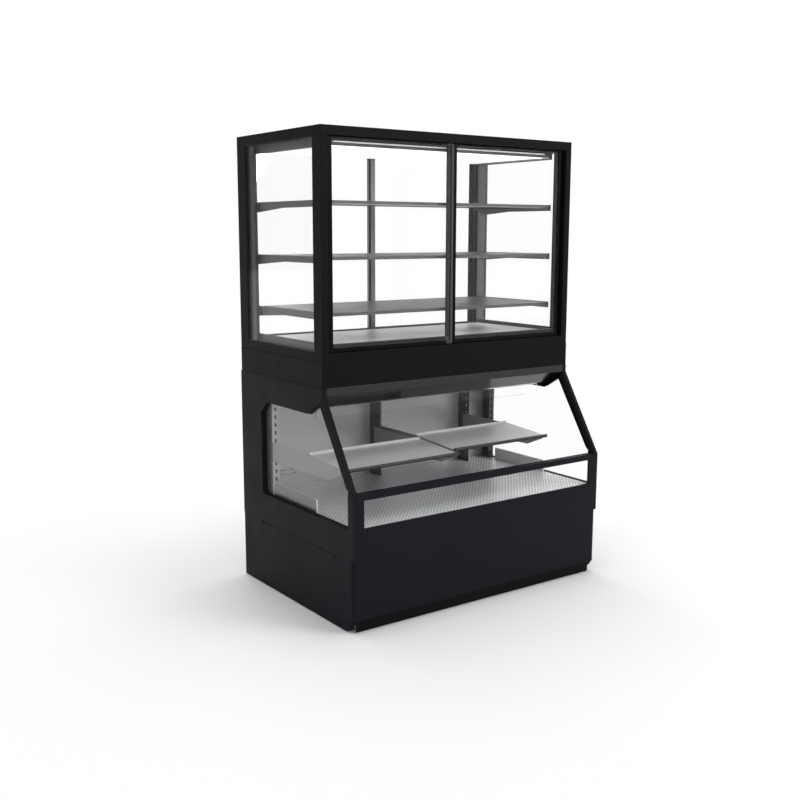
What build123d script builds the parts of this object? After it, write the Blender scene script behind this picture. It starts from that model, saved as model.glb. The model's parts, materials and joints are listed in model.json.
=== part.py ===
from build123d import *
import math
import os

# Two-tier refrigerated display case: a glass cabinet on an open-fronted lower case.
# Millimetres, origin on the floor under the middle of the case, +Y to the rear, +Z up.

os.makedirs("parts", exist_ok=True)

# Overall sizes
case_width = 1200
case_depth = 816
case_height = 1760
upper_depth = 620
joint_height = 852

half_width = case_width / 2
rear = case_depth / 2
front = -case_depth / 2
upper_front = rear - upper_depth

# Sheets, walls and the steps between the stacked layers of the side
sheet = 2
skin = 3
panel_wall = 20
cover_inset = 2
frame_inset = 4
floor_gap = 2
rear_band = 40
lower_post_width = 38
running_gap = 0.05
seat_gap = 0.3
slide_gap = 0.5

# Levelling feet and the base
foot_height = 18
foot_radius = 20
foot_pad = 8
foot_nut = 10
foot_stud = 5
foot_inset_x = 80
foot_inset_y = 68
pan_upstand = 30
base_bar = 25
kick_height = 46
cover_height = 268
cover_chamfer_rise = 47
cover_chamfer_run = 44
screw_inset_front = 117
screw_inset_rear = 115
screw_drop = 9.5
screw_rise = 14
screw_head = 4.5
screw_shank = 2.2
screw_hole = 2.5
front_corner_radius = 17

# Front panel, low window and rail
front_panel_depth = 18
front_panel_bottom = 48
low_window_bottom = 381
low_window_top = 484
low_window_stile = 47
glass_lap = 7
low_glass = 6
rail_height = 21
rail_depth = 30

# Side window of the lower case
window_bottom = 378
window_top_drop = 103.5
window_front = -377
window_rear = 244
window_corner = 10
window_top_corner = 44
window_slope_run = 102
post_band_y = 43
post_band_z = 21
post_head_drop = 26
post_heel = 12
post_width = 26
post_bevel = 10
pane_lap = 8
pane = 6

# Insulated tub, deck and rear plenum of the lower case
tub_bottom = 296
tub_floor = 30
tub_rim = 370
tub_front_wall = 12
tub_rear_wall = 36
rear_skin = 10
deck_top = 378
deck_rim = 10
deck_front = -382
ledge_height = 50
ledge_width = 6
ledge_front = -124
ledge_rear = 190
back_panel_y = 285
board_thickness = 29

# Rear of the lower case: panel, louvred grille, mains inlet
rear_panel_thickness = 6
grille_bottom = 60
louvre = (210, 8)
louvre_pitch = (240, 16)
louvre_rows = 10
louvre_shift = 110
inlet_inset = 90
inlet_z = 130
inlet_half = (25, 16)
inlet_flange = (8, 4)
inlet_depth = 24
socket_half = (14, 10)
socket_depth = 18
socket_pins = [(-7, -3), (7, -3), (0, 3)]

# Canopy: its drop below the joint, the break in its slope, the outlet and the deflector
canopy_drop = 96
canopy_break_drop = 84
canopy_head_run = 30
canopy_break_y = -114
canopy_low_front = -75
canopy_lift = 4
honeycomb_setback = 6
honeycomb_width = 40
honeycomb_depth = 10
honeycomb_end = 34
cell_pitch = (20, 17)
cell_size = (16, 13)
deflector_setback = 17
deflector_thickness = 4
deflector_drop = 36
deflector_end = 24
air_slot = (30, 3)
air_slot_rows = 2
air_slot_columns = 23
air_slot_rise = 16
air_slot_level = 60

# Tilted shelves of the lower case
shelf_front_y = -311
shelf_rear_y = -69
shelf_front_z = 569
shelf_rear_z = 586
shelf_lip = 9
shelf_end_left = 14
shelf_end_right = 153
shelf_joint = (-60, -52)
right_shelf_shift = (34, 8)
shelf_bar_lap = 4
front_bar_radius = 6.5
arm_thickness = 3
upright_thickness = 3
upright_front = 211
upright_slot = (5, 14)
upright_slot_inset = 15
upright_slot_pitch = 31
bracket_hook = 38
bracket_depth = 62
bracket_belly = 50
bracket_nose = 8
bracket_nose_drop = 12

# Upper cabinet
apron_height = 92
fascia_height = 123
apron_wall = 20
control_recess = 3
frame_wall = 28
rail_bottom = 30
top_rail = 33
side_top_rail = 36
front_post_depth = 56
rear_post_depth = 65
front_rail_depth = 72
rear_rail_depth = 93
top_front_rail = 36
top_rear_rail = 80
side_pane = 10
side_pane_setback = 4

# Front doors
door_recess = 15
door_depth = 30
door_pane = 6
door_gap = 3
door_foot_gap = 2
meeting_gap = 1.5
border_outer = 24
border_meeting = 10.5
border_bottom = 13
border_top = 4
inner_outer = 24
inner_meeting = 14.5
inner_bottom = 26.5
inner_top = 7
inner_pane = 4
pivot_inset = 8
pivot_setback = 7
pivot_radius = 4
pivot_collar = 7
pivot_hole = 14
pivot_hole_top = 7

# Sliding rear doors
track_base = 3
track_rib = 2
track_lip = 10
rear_door_depth = 14
rear_door_stile = 21
rear_door_pocket = 19
meeting_stile = 22
rear_door_rail = 14
rear_pane = 6
pull_size = (18, 120)
pull_depth = 3
pull_inset = 14

# Shelves, arms and deck of the cabinet
shelf_shares = [0.7143, 0.4499, 0.1829]
shelf_fold = 12
shelf_rear_fold = 5
shelf_end_gap = 35
cabinet_front = -152
shelf_rear = 320
light_panel_drop = 15
light_panel_depth = 11
arm_inset = 15
arm_thickness_upper = 3
arm_flange = 38
arm_rise = 1
arm_front_height = 24
arm_rear_height = 38
arm_front_setback = 12
arm_rear_y = 322
arm_hook_y = 305
arm_taper_front = 12
arm_taper_rear = 205
top_arm_rise = 26
top_arm_drop = 5
upright_width = 12.5
upright_depth = 51
upright_gap = 0.5
deck_height = 17
deck_skirt_height = 22
deck_side_height = 33
strip_end_gap = 10
shelf_strip = (12, 10)
panel_strip = (20, 34)
panel_strip_depth = 2
edge_strip = (2, 12)
edge_strip_height = 5
canopy_strip = (50, 68)
canopy_strip_depth = 8

# Control panel at the rear of the apron
control_inset = 213
control_half = (98, 20)
control_flange = 6
control_plate = 1.5
display_x = (10, 82)
display_half_height = 16
display_recess_x = (16, 62)
display_recess_half_height = 11
display_recess_depth = 2
rocker_offsets = [-70, -36]
rocker_half = (12.5, 9.5)
rocker_depth = 8
rocker_setback = 3
rocker_tilt = 7
rocker_pin = 1.5
rocker_pin_reach = 1.2
well_depth = 6

# Machinery
condenser_size = (300, 40, 219)
condenser_x = -half_width / 2
condenser_front = 298
shroud_depth = 48
condenser_fan_radius = 84
condenser_fins = 19
condenser_fin_pitch = 15
coil_plate = 4
fin = 2
coil_tube_radius = 5
coil_tube_pitch = 28
coil_tube_start = 25
fin_end_gap = 10
compressor_centre = (160, 0)
compressor_radius = 78
compressor_height = 170
compressor_dome = 40
compressor_base = (100, 80, 6)
terminal_box = (70, 100, 30, 70, 130)
tray_x = (120, 380)
tray_y = (150, 320)
tray_height = 45
evaporator_size = (800, 50, 180)
evaporator_fins = 24
evaporator_fin_pitch = 32
evaporator_drop = 260
evaporator_tubes = 6
upper_coil_rise = 28
upper_coil_plate = (600, 240, 8)
upper_coil_y = 60
upper_coil_fins = 15
upper_coil_fin_pitch = 40
upper_coil_fin_height = 44
fan_frame = 120
fan_frame_depth = 38
fan_radius = 52
fan_x = 200
fan_drop = 76
fan_shaft = 3
fan_hub = 19
fan_blades = 7
motor_arm = 6
motor_radius = 32
motor_depth = 30
shaft_radius = 4
condenser_hub = 25
condenser_blades = 5
blade_root = 6
blade_thickness = 2
blade_pitch = 32
blade_spread = 1.3


def block(x_span, y_span, z_span, mode=Mode.ADD):
    """Add or cut the box that fills three spans of coordinates."""
    spans = (x_span, y_span, z_span)
    with Locations(tuple((low + high) / 2 for low, high in spans)):
        Box(*(high - low for low, high in spans), mode=mode)


def side_span(side, inner, outer):
    """X span between two distances from the middle, on the left (-1) or right (1)."""
    return tuple(sorted((side * inner, side * outer)))


def profile_x(points, x_span, mode=Mode.ADD):
    """Extrude an outline of (y, z) points along X over a span."""
    with BuildSketch(Plane.YZ.offset(x_span[0])) as outline:
        Polygon(*points, align=None)
    extrude(outline.sketch, amount=x_span[1] - x_span[0], mode=mode)


def cylinder_y(centre, radius, y_span, mode=Mode.ADD):
    """Add or cut a cylinder along Y, with its centre at (x, z)."""
    middle = (centre[0], (y_span[0] + y_span[1]) / 2, centre[1])
    with Locations(middle):
        Cylinder(radius, y_span[1] - y_span[0], rotation=(90, 0, 0), mode=mode)


def cylinder_z(centre, radius, z_span, mode=Mode.ADD):
    """Add or cut a cylinder along Z, with its centre at (x, y)."""
    with Locations((centre[0], centre[1], (z_span[0] + z_span[1]) / 2)):
        Cylinder(radius, z_span[1] - z_span[0], mode=mode)


# Places worked out from the sizes
wall_inner = half_width - panel_wall
cover_outer = half_width - cover_inset
cover_inner = cover_outer - panel_wall
panel_back = front + front_panel_depth
cover_rear = rear - rear_band
post_inner = cover_outer - lower_post_width
rear_skin_front = rear - rear_skin
frame_outer = half_width - frame_inset
frame_inner = frame_outer - frame_wall
rail_top = low_window_top + rail_height
rail_back = front + rail_depth
pan_top = foot_height + skin
board_bottom = joint_height - board_thickness
window_top = joint_height - window_top_drop
canopy_bottom = joint_height - canopy_drop
fascia_top = joint_height + fascia_height
top_frame_bottom = case_height - top_rail
side_frame_bottom = case_height - side_top_rail

# Base: the pan with its upstand, and the welded frame that carries the tub
with BuildPart() as base_frame:
    with BuildSketch(Plane.XY.offset(foot_height)) as pan_outline:
        with Locations((0, (panel_back + cover_rear) / 2)):
            Rectangle(2 * cover_inner, cover_rear - panel_back)
        with Locations((0, (cover_rear + rear_skin_front) / 2)):
            Rectangle(2 * post_inner, rear_skin_front - cover_rear)
    extrude(amount=pan_upstand)
    with BuildSketch(Plane.XY.offset(pan_top)) as pan_inside:
        add(pan_outline.faces()[0].moved(Location((0, 0, -foot_height))))
        offset(amount=-skin, kind=Kind.INTERSECTION, mode=Mode.REPLACE)
    extrude(amount=pan_upstand, mode=Mode.SUBTRACT)
    bar_x = cover_inner - skin - base_bar
    bar_front = panel_back + skin
    bar_rear = cover_rear - skin - base_bar
    for side in (-1, 1):
        for bar_y in (bar_front, bar_rear):
            block(side_span(side, bar_x, bar_x + base_bar), (bar_y, bar_y + base_bar), (pan_top, tub_bottom))
        block(
            side_span(side, bar_x, bar_x + base_bar),
            (bar_front, bar_rear + base_bar),
            (tub_bottom - base_bar, tub_bottom),
        )
    for bar_y in (bar_front, bar_rear):
        block((-bar_x, bar_x), (bar_y, bar_y + base_bar), (tub_bottom - base_bar, tub_bottom))
    foot_places = [
        (x * (half_width - foot_inset_x), y)
        for x in (-1, 1)
        for y in (front + foot_inset_y, rear - foot_inset_y)
    ]
    for place in foot_places:
        cylinder_z(place, foot_stud + seat_gap, (foot_height, pan_top), mode=Mode.SUBTRACT)
base_frame.part.label = "base_frame"
export_step(base_frame.part, "parts/base_frame.step")

# Levelling feet: pad, nut and stud in one, screwed through the pan
with BuildPart() as levelling_feet:
    for place in foot_places:
        cylinder_z(place, foot_radius, (0, foot_pad))
        cylinder_z(place, foot_nut, (foot_pad, foot_height))
        cylinder_z(place, foot_stud, (foot_height, foot_height + foot_pad + skin))
levelling_feet.part.label = "levelling_feet"
export_step(levelling_feet.part, "parts/levelling_feet.step")

with BuildPart() as kick_plate:
    block((-cover_inner, cover_inner), (panel_back - sheet, panel_back), (floor_gap, kick_height))
kick_plate.part.label = "kick_plate"
export_step(kick_plate.part, "parts/kick_plate.step")

# Side covers of the machine space, chamfered at the front foot
with BuildPart() as side_covers:
    chamfer_slope = cover_chamfer_rise / cover_chamfer_run
    chamfer_foot = front + skin + cover_chamfer_run
    cover_points = [
        (panel_back, floor_gap + (chamfer_foot - panel_back) * chamfer_slope),
        (chamfer_foot, floor_gap),
        (cover_rear, floor_gap),
        (cover_rear, cover_height),
        (panel_back, cover_height),
    ]
    screw_places = [
        (y, z)
        for y in (front + screw_inset_front, cover_rear - screw_inset_rear)
        for z in (screw_rise, cover_height - screw_drop)
    ]
    for side in (-1, 1):
        profile_x(cover_points, side_span(side, cover_inner, cover_outer))
    for y, z in screw_places:
        with Locations((0, y, z)):
            Cylinder(screw_hole, case_width, rotation=(0, 90, 0), mode=Mode.SUBTRACT)
side_covers.part.label = "side_covers"
export_step(side_covers.part, "parts/side_covers.step")

# Cover screws: a domed head with its shank in the cover
with BuildPart() as cover_screws:
    for side in (-1, 1):
        for y, z in screw_places:
            with Locations((side * (cover_outer + cover_inset / 2), y, z)):
                Cylinder(screw_head, cover_inset, rotation=(0, 90, 0))
            with Locations((side * (cover_outer - panel_wall / 2), y, z)):
                Cylinder(screw_shank, panel_wall, rotation=(0, 90, 0))
cover_screws.part.label = "cover_screws"
export_step(cover_screws.part, "parts/cover_screws.step")

# Rear corner posts of the lower case
with BuildPart() as lower_rear_posts:
    for side in (-1, 1):
        block(side_span(side, post_inner, cover_outer), (cover_rear, rear), (floor_gap, cover_height))
        block(
            side_span(side, post_inner - panel_wall, wall_inner),
            (rear_skin_front, rear),
            (floor_gap, joint_height - floor_gap),
        )
lower_rear_posts.part.label = "lower_rear_posts"
export_step(lower_rear_posts.part, "parts/lower_rear_posts.step")

# Front panel: a rounded foot, then a skin with the low window cut in it and a core behind
low_window_half = half_width - low_window_stile
low_glass_half = low_window_half + glass_lap
low_glass_bottom = low_window_bottom - pane
with BuildPart() as front_panel:
    block((-cover_outer, cover_outer), (front, panel_back), (front_panel_bottom, cover_height))
    foot_corners = front_panel.edges().filter_by(Axis.Z).group_by(Axis.Y)[0]
    fillet(foot_corners, front_corner_radius)
    block((-half_width, half_width), (front, front + skin), (cover_height, low_window_top))
    block((-wall_inner, wall_inner), (front + skin, panel_back), (cover_height, low_glass_bottom))
    block(
        (-low_window_half, low_window_half),
        (front, front + skin),
        (low_window_bottom, low_window_top),
        mode=Mode.SUBTRACT,
    )
    for side in (-1, 1):
        block(
            side_span(side, low_glass_half, wall_inner),
            (front + skin, panel_back),
            (low_glass_bottom, low_window_top),
        )
front_panel.part.label = "front_panel"
export_step(front_panel.part, "parts/front_panel.step")

with BuildPart() as front_rail:
    block((-half_width, half_width), (front, front + skin), (low_window_top, rail_top))
    block((-wall_inner, wall_inner), (front + skin, rail_back), (low_window_top, rail_top))
front_rail.part.label = "front_rail"
export_step(front_rail.part, "parts/front_rail.step")

# Outlines in the side view (y, z): the slanted post and the window beside it
post_foot_inner = (front + post_band_y, rail_top + post_band_z)
post_head_inner = (upper_front + post_band_z, board_bottom - post_head_drop)
slanted_outline = [
    (front, rail_top),
    (upper_front, board_bottom),
    post_head_inner,
    post_foot_inner,
    (rail_back, rail_top + post_heel),
    (rail_back, rail_top),
]
window_outline = [
    (window_rear, window_bottom + window_corner),
    (window_rear - window_corner, window_bottom),
    (window_front, window_bottom),
    (window_front, rail_top + post_heel),
    post_foot_inner,
    post_head_inner,
    (upper_front + window_slope_run, window_top),
    (window_rear - window_top_corner, window_top),
    (window_rear, window_top - window_top_corner),
]

# Side panels: a deep frame around the window, open at the slant where the post closes it
with BuildPart() as side_panels:
    panel_outline = [
        (rear, cover_height),
        (rear, joint_height),
        (upper_front, joint_height),
        (upper_front, board_bottom),
        post_head_inner,
        *window_outline[6:],
        *window_outline[:3],
        (window_front, rail_top),
        (front + skin, rail_top),
        (front + skin, cover_height),
    ]
    for side in (-1, 1):
        profile_x(panel_outline, side_span(side, wall_inner, half_width))
side_panels.part.label = "side_panels"
export_step(side_panels.part, "parts/side_panels.step")

# Slanted front posts, bevelled on the inner front edge
with BuildPart() as slanted_posts:
    for side in (-1, 1):
        profile_x(slanted_outline, side_span(side, half_width - post_width, half_width))
    post_inner_face = half_width - post_width
    for side in (-1, 1):
        inner_edges = slanted_posts.edges().filter_by_position(
            Axis.X, side * post_inner_face - 0.1, side * post_inner_face + 0.1
        )
        chamfer(inner_edges.sort_by(SortBy.LENGTH)[-1], post_bevel)
slanted_posts.part.label = "slanted_posts"
export_step(slanted_posts.part, "parts/slanted_posts.step")

# Lower panes: the side windows, lapped behind the side panels and stopped at the post
# and rail, and the low front glass behind the front panel's skin
with BuildPart() as lower_windows:
    with BuildSketch(Plane.YZ.offset(wall_inner - pane)) as pane_outline:
        Polygon(*window_outline, align=None)
        offset(amount=pane_lap, kind=Kind.INTERSECTION)
        Polygon(*slanted_outline, align=None, mode=Mode.SUBTRACT)
        with Locations((rail_back - pane_lap, (rail_top + window_bottom) / 2)):
            Rectangle(2 * pane_lap, rail_top, mode=Mode.SUBTRACT)
    extrude(amount=pane)
    mirror(about=Plane.YZ)
    block(
        (-low_glass_half, low_glass_half),
        (front + skin, front + skin + low_glass),
        (low_glass_bottom, low_window_top),
    )
lower_windows.part.label = "lower_windows"
export_step(lower_windows.part, "parts/lower_windows.step")

# Insulated tub: floor, low walls and the tall rear wall
with BuildPart() as insulated_tub:
    block((-wall_inner, wall_inner), (panel_back, rear_skin_front), (tub_bottom, tub_rim))
    block(
        (panel_wall - wall_inner, wall_inner - panel_wall),
        (panel_back + tub_front_wall, rear_skin_front - tub_rear_wall),
        (tub_bottom + tub_floor, tub_rim),
        mode=Mode.SUBTRACT,
    )
    block(
        (-wall_inner, wall_inner),
        (rear_skin_front - tub_rear_wall, rear_skin_front),
        (tub_rim, board_bottom),
    )
insulated_tub.part.label = "insulated_tub"
export_step(insulated_tub.part, "parts/insulated_tub.step")

# Rear panel and the louvred grille below it
grille_top = tub_bottom - pane
rear_panel_half = post_inner - panel_wall
rear_panel_back = rear_skin_front + rear_panel_thickness
with BuildPart() as rear_panel:
    block(
        (-rear_panel_half, rear_panel_half),
        (rear_skin_front, rear_panel_back),
        (grille_top, joint_height - floor_gap),
    )
rear_panel.part.label = "rear_panel"
export_step(rear_panel.part, "parts/rear_panel.step")

inlet_x = rear_panel_half - inlet_inset
with BuildPart() as rear_grille:
    block(
        (-rear_panel_half, rear_panel_half),
        (rear_panel_back - skin, rear_panel_back),
        (grille_bottom, grille_top),
    )
    with BuildSketch(Plane.XZ.offset(-rear_panel_back)) as louvres:
        with Locations((condenser_x + louvre_shift, (grille_bottom + grille_top) / 2)):
            with GridLocations(*louvre_pitch, 2, louvre_rows):
                SlotOverall(*louvre)
    extrude(amount=skin, mode=Mode.SUBTRACT)
    block(
        (inlet_x - inlet_half[0], inlet_x + inlet_half[0]),
        (rear_panel_back - skin, rear_panel_back),
        (inlet_z - inlet_half[1], inlet_z + inlet_half[1]),
        mode=Mode.SUBTRACT,
    )
rear_grille.part.label = "rear_grille"
export_step(rear_grille.part, "parts/rear_grille.step")

# Power inlet: body in the grille's cut-out, flange behind it, socket well
with BuildPart() as power_inlet:
    block(
        (inlet_x - inlet_half[0], inlet_x + inlet_half[0]),
        (rear_panel_back - inlet_depth, rear_panel_back),
        (inlet_z - inlet_half[1], inlet_z + inlet_half[1]),
    )
    block(
        (inlet_x - inlet_half[0] - inlet_flange[0], inlet_x + inlet_half[0] + inlet_flange[0]),
        (rear_panel_back, rear),
        (inlet_z - inlet_half[1] - inlet_flange[1], inlet_z + inlet_half[1] + inlet_flange[1]),
    )
    block(
        (inlet_x - socket_half[0], inlet_x + socket_half[0]),
        (rear - socket_depth, rear),
        (inlet_z - socket_half[1], inlet_z + socket_half[1]),
        mode=Mode.SUBTRACT,
    )
    pin_y = rear - socket_depth + inlet_flange[1]
    with Locations(*[(inlet_x + dx, pin_y, inlet_z + dz) for dx, dz in socket_pins]):
        Box(sheet, inlet_flange[0], inlet_flange[1])
power_inlet.part.label = "power_inlet"
export_step(power_inlet.part, "parts/power_inlet.step")

# Display deck of the lower case: sheet, rim below it and a ledge at each side
deck_half = wall_inner - pane - sheet
with BuildPart() as lower_deck:
    block((-deck_half, deck_half), (deck_front, back_panel_y), (tub_rim, deck_top))
    block(
        (deck_rim + sheet - deck_half, deck_half - deck_rim - sheet),
        (deck_front + deck_rim, back_panel_y - deck_rim),
        (tub_rim, deck_top - sheet),
        mode=Mode.SUBTRACT,
    )
    for side in (-1, 1):
        block(
            side_span(side, deck_half - ledge_width, deck_half),
            (ledge_front, ledge_rear),
            (deck_top, deck_top + ledge_height),
        )
lower_deck.part.label = "lower_deck"
export_step(lower_deck.part, "parts/lower_deck.step")

# Polished back panel with its air slots
with BuildPart() as air_back_panel:
    block((-wall_inner, wall_inner), (back_panel_y, back_panel_y + sheet), (deck_top, board_bottom))
    with BuildSketch(Plane.XZ.offset(-back_panel_y)) as air_slots:
        with Locations((0, deck_top + air_slot_level)):
            slot_run = 2 * wall_inner / (air_slot_columns + 1)
            with GridLocations(slot_run, air_slot_rise, air_slot_columns, air_slot_rows):
                SlotOverall(*air_slot)
    extrude(amount=-sheet, mode=Mode.SUBTRACT)
air_back_panel.part.label = "air_back_panel"
export_step(air_back_panel.part, "parts/air_back_panel.step")

# Slotted uprights: one against each side window and two by the inner shelf ends
upright_inner = wall_inner - pane - sheet - upright_thickness
shelf_spans = [(shelf_end_left - wall_inner, shelf_joint[0]), (shelf_joint[1], wall_inner - shelf_end_right)]
shelf_shifts = [(0, 0), right_shelf_shift]
end_upright = shelf_spans[1][1] - arm_thickness
inner_uprights = [shelf_joint, (end_upright, end_upright + upright_thickness)]
upright_spans = [side_span(side, upright_inner, upright_inner + upright_thickness) for side in (-1, 1)]
upright_spans += inner_uprights
with BuildPart() as lower_uprights:
    for span in upright_spans:
        block(span, (upright_front, back_panel_y), (deck_top, canopy_bottom))
    slot_count = int((canopy_bottom - deck_top) / upright_slot_pitch) - 1
    for index in range(slot_count):
        slot_z = deck_top + upright_slot_pitch * (index + 1)
        block(
            (-half_width, half_width),
            (upright_front + upright_slot_inset, upright_front + upright_slot_inset + upright_slot[0]),
            (slot_z, slot_z + upright_slot[1]),
            mode=Mode.SUBTRACT,
        )
lower_uprights.part.label = "lower_uprights"
export_step(lower_uprights.part, "parts/lower_uprights.step")

# Cantilever arms: deep at the upright, thin under the shelf's front. The right shelf hangs
# a little further back and higher than the left one.
arm_places = [
    ((-upright_inner, arm_thickness - upright_inner), shelf_shifts[0]),
    ((shelf_joint[0] - arm_thickness, shelf_joint[0]), shelf_shifts[0]),
    ((shelf_joint[1], shelf_joint[1] + arm_thickness), shelf_shifts[1]),
    ((end_upright - arm_thickness, end_upright), shelf_shifts[1]),
]
tilt = (shelf_rear_z - shelf_front_z) / (shelf_rear_y - shelf_front_y)
with BuildPart() as shelf_brackets:
    for span, (back, lift) in arm_places:
        nose_y = shelf_front_y + bracket_nose + back
        front_z = shelf_front_z + lift
        arm_outline = [
            (upright_front + bracket_hook, front_z - bracket_depth),
            (upright_front + bracket_hook, shelf_rear_z + lift),
            (shelf_rear_y + back, shelf_rear_z + lift),
            (nose_y, front_z + bracket_nose * tilt),
            (nose_y, front_z - bracket_nose_drop),
            (upper_front + back, front_z - bracket_belly),
        ]
        profile_x(arm_outline, span)
shelf_brackets.part.label = "shelf_brackets"
export_step(shelf_brackets.part, "parts/shelf_brackets.step")

# Tilted shelves: a sheet with a lip at the rear, its front edge held in a dark round bar
shelf_outlines = []
for back, lift in shelf_shifts:
    edge_y = shelf_front_y - shelf_bar_lap + back
    edge_z = shelf_front_z - shelf_bar_lap * tilt + lift
    lip_y = shelf_rear_y + back
    lip_z = shelf_rear_z + lift
    shelf_outlines.append(
        [
            (edge_y, edge_z),
            (lip_y, lip_z),
            (lip_y, lip_z + shelf_lip),
            (lip_y - sheet, lip_z + shelf_lip),
            (lip_y - sheet, lip_z + sheet),
            (edge_y, edge_z + sheet),
        ]
    )
with BuildPart() as lower_shelves:
    for span, outline_points in zip(shelf_spans, shelf_outlines):
        profile_x(outline_points, span)
lower_shelves.part.label = "lower_shelves"
export_step(lower_shelves.part, "parts/lower_shelves.step")

with BuildPart() as shelf_front_bars:
    for span, outline_points, (back, lift) in zip(shelf_spans, shelf_outlines, shelf_shifts):
        bar_centre = (shelf_front_y - front_bar_radius + 1 + back, shelf_front_z + sheet / 2 + lift)
        with BuildSketch(Plane.YZ.offset(span[0])) as bar_section:
            with Locations(bar_centre):
                Circle(front_bar_radius)
            Polygon(*outline_points, align=None, mode=Mode.SUBTRACT)
        extrude(bar_section.sketch, amount=span[1] - span[0])
shelf_front_bars.part.label = "shelf_front_bars"
export_step(shelf_front_bars.part, "parts/shelf_front_bars.step")

# Canopy: a sheet that slopes back from under the board, then runs flat to the back panel
canopy_half = wall_inner - pane
canopy_front = upper_front + canopy_head_run
canopy_break = (canopy_break_y, joint_height - canopy_break_drop)
head_slope = (board_bottom - canopy_break[1]) / (canopy_break_y - canopy_front)
foot_slope = (canopy_break[1] - canopy_bottom) / (canopy_low_front - canopy_break_y)
honeycomb_front = canopy_low_front + honeycomb_setback
honeycomb_span = (honeycomb_front, honeycomb_front + honeycomb_width)
honeycomb_half = canopy_half - honeycomb_end
with BuildPart() as canopy:
    canopy_upper = [
        (back_panel_y, canopy_bottom + canopy_lift),
        (canopy_low_front, canopy_bottom + canopy_lift),
        (canopy_break_y, canopy_break[1] + canopy_lift),
        (canopy_front + canopy_lift / head_slope, board_bottom),
    ]
    canopy_outline = [
        (canopy_front, board_bottom),
        canopy_break,
        (canopy_low_front, canopy_bottom),
        (back_panel_y, canopy_bottom),
        *canopy_upper,
    ]
    profile_x(canopy_outline, (-canopy_half, canopy_half))
    for side in (-1, 1):
        cheek_outline = [*canopy_upper, (back_panel_y, board_bottom)]
        profile_x(cheek_outline, side_span(side, canopy_half - skin, canopy_half))
    block(
        (-honeycomb_half, honeycomb_half),
        honeycomb_span,
        (canopy_bottom, canopy_bottom + canopy_lift),
        mode=Mode.SUBTRACT,
    )
canopy.part.label = "canopy"
export_step(canopy.part, "parts/canopy.step")

# Honeycomb outlet of the cold air curtain
with BuildPart() as air_honeycomb:
    block((-honeycomb_half, honeycomb_half), honeycomb_span, (canopy_bottom, canopy_bottom + honeycomb_depth))
    with BuildSketch(Plane.XY.offset(canopy_bottom)) as cells:
        with Locations((0, sum(honeycomb_span) / 2)):
            cell_columns = int(2 * honeycomb_half / cell_pitch[0]) - 1
            with GridLocations(*cell_pitch, cell_columns, 2):
                Rectangle(*cell_size)
    extrude(amount=honeycomb_depth, mode=Mode.SUBTRACT)
air_honeycomb.part.label = "air_honeycomb"
export_step(air_honeycomb.part, "parts/air_honeycomb.step")

# Clear deflector hung from the canopy in front of the outlet
deflector_rear = canopy_low_front - deflector_setback + deflector_thickness
deflector_top = canopy_bottom + (canopy_low_front - deflector_rear) * foot_slope
with BuildPart() as air_deflector:
    block(
        (deflector_end - canopy_half, canopy_half - deflector_end),
        (deflector_rear - deflector_thickness, deflector_rear),
        (canopy_bottom - deflector_drop, deflector_top),
    )
air_deflector.part.label = "air_deflector"
export_step(air_deflector.part, "parts/air_deflector.step")

# Insulated board between the two units; its front edge shows as the band under the apron
with BuildPart() as mid_board:
    block((-wall_inner, wall_inner), (upper_front, rear_skin_front), (board_bottom, joint_height))
mid_board.part.label = "mid_board"
export_step(mid_board.part, "parts/mid_board.step")

# Condensing unit: coil, shroud with motor, fan, compressor and drip tray on the pan
condenser_rear = condenser_front + condenser_size[1]
condenser_top = pan_top + condenser_size[2]
condenser_span = (condenser_x - condenser_size[0] / 2, condenser_x + condenser_size[0] / 2)
fan_centre = (condenser_x, (pan_top + condenser_top) / 2)
with BuildPart() as condenser_coil:
    for x in condenser_span:
        plate_span = (x - coil_plate / 2, x + coil_plate / 2)
        block(plate_span, (condenser_front, condenser_rear), (pan_top, condenser_top))
    condenser_middle = (condenser_front + condenser_rear) / 2
    with Locations((condenser_x, condenser_middle, (pan_top + condenser_top) / 2)):
        with GridLocations(condenser_fin_pitch, 1, condenser_fins, 1):
            Box(fin, condenser_size[1] - 3 * fin, condenser_size[2] - 2 * fin_end_gap)
    tube_count = int((condenser_size[2] - coil_tube_start) / coil_tube_pitch) + 1
    for row in range(tube_count):
        with Locations((condenser_x, condenser_middle, pan_top + coil_tube_start + coil_tube_pitch * row)):
            Cylinder(coil_tube_radius, condenser_size[0], rotation=(0, 90, 0))
condenser_coil.part.label = "condenser_coil"
export_step(condenser_coil.part, "parts/condenser_coil.step")

shroud_front = condenser_front - shroud_depth
with BuildPart() as condenser_shroud:
    block(condenser_span, (shroud_front, condenser_front), (pan_top, condenser_top))
    cylinder_y(fan_centre, condenser_fan_radius + 6, (shroud_front, condenser_front), mode=Mode.SUBTRACT)
    for half in ((condenser_fan_radius + 8, 10), (10, condenser_fan_radius + 8)):
        block(
            (fan_centre[0] - half[0], fan_centre[0] + half[0]),
            (shroud_front, shroud_front + motor_arm),
            (fan_centre[1] - half[1], fan_centre[1] + half[1]),
        )
    cylinder_y(fan_centre, motor_radius, (shroud_front - motor_depth, shroud_front + motor_arm))
    cylinder_y(fan_centre, shaft_radius, (shroud_front + motor_arm, condenser_front - 6))
condenser_shroud.part.label = "condenser_shroud"
export_step(condenser_shroud.part, "parts/condenser_shroud.step")


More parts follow.
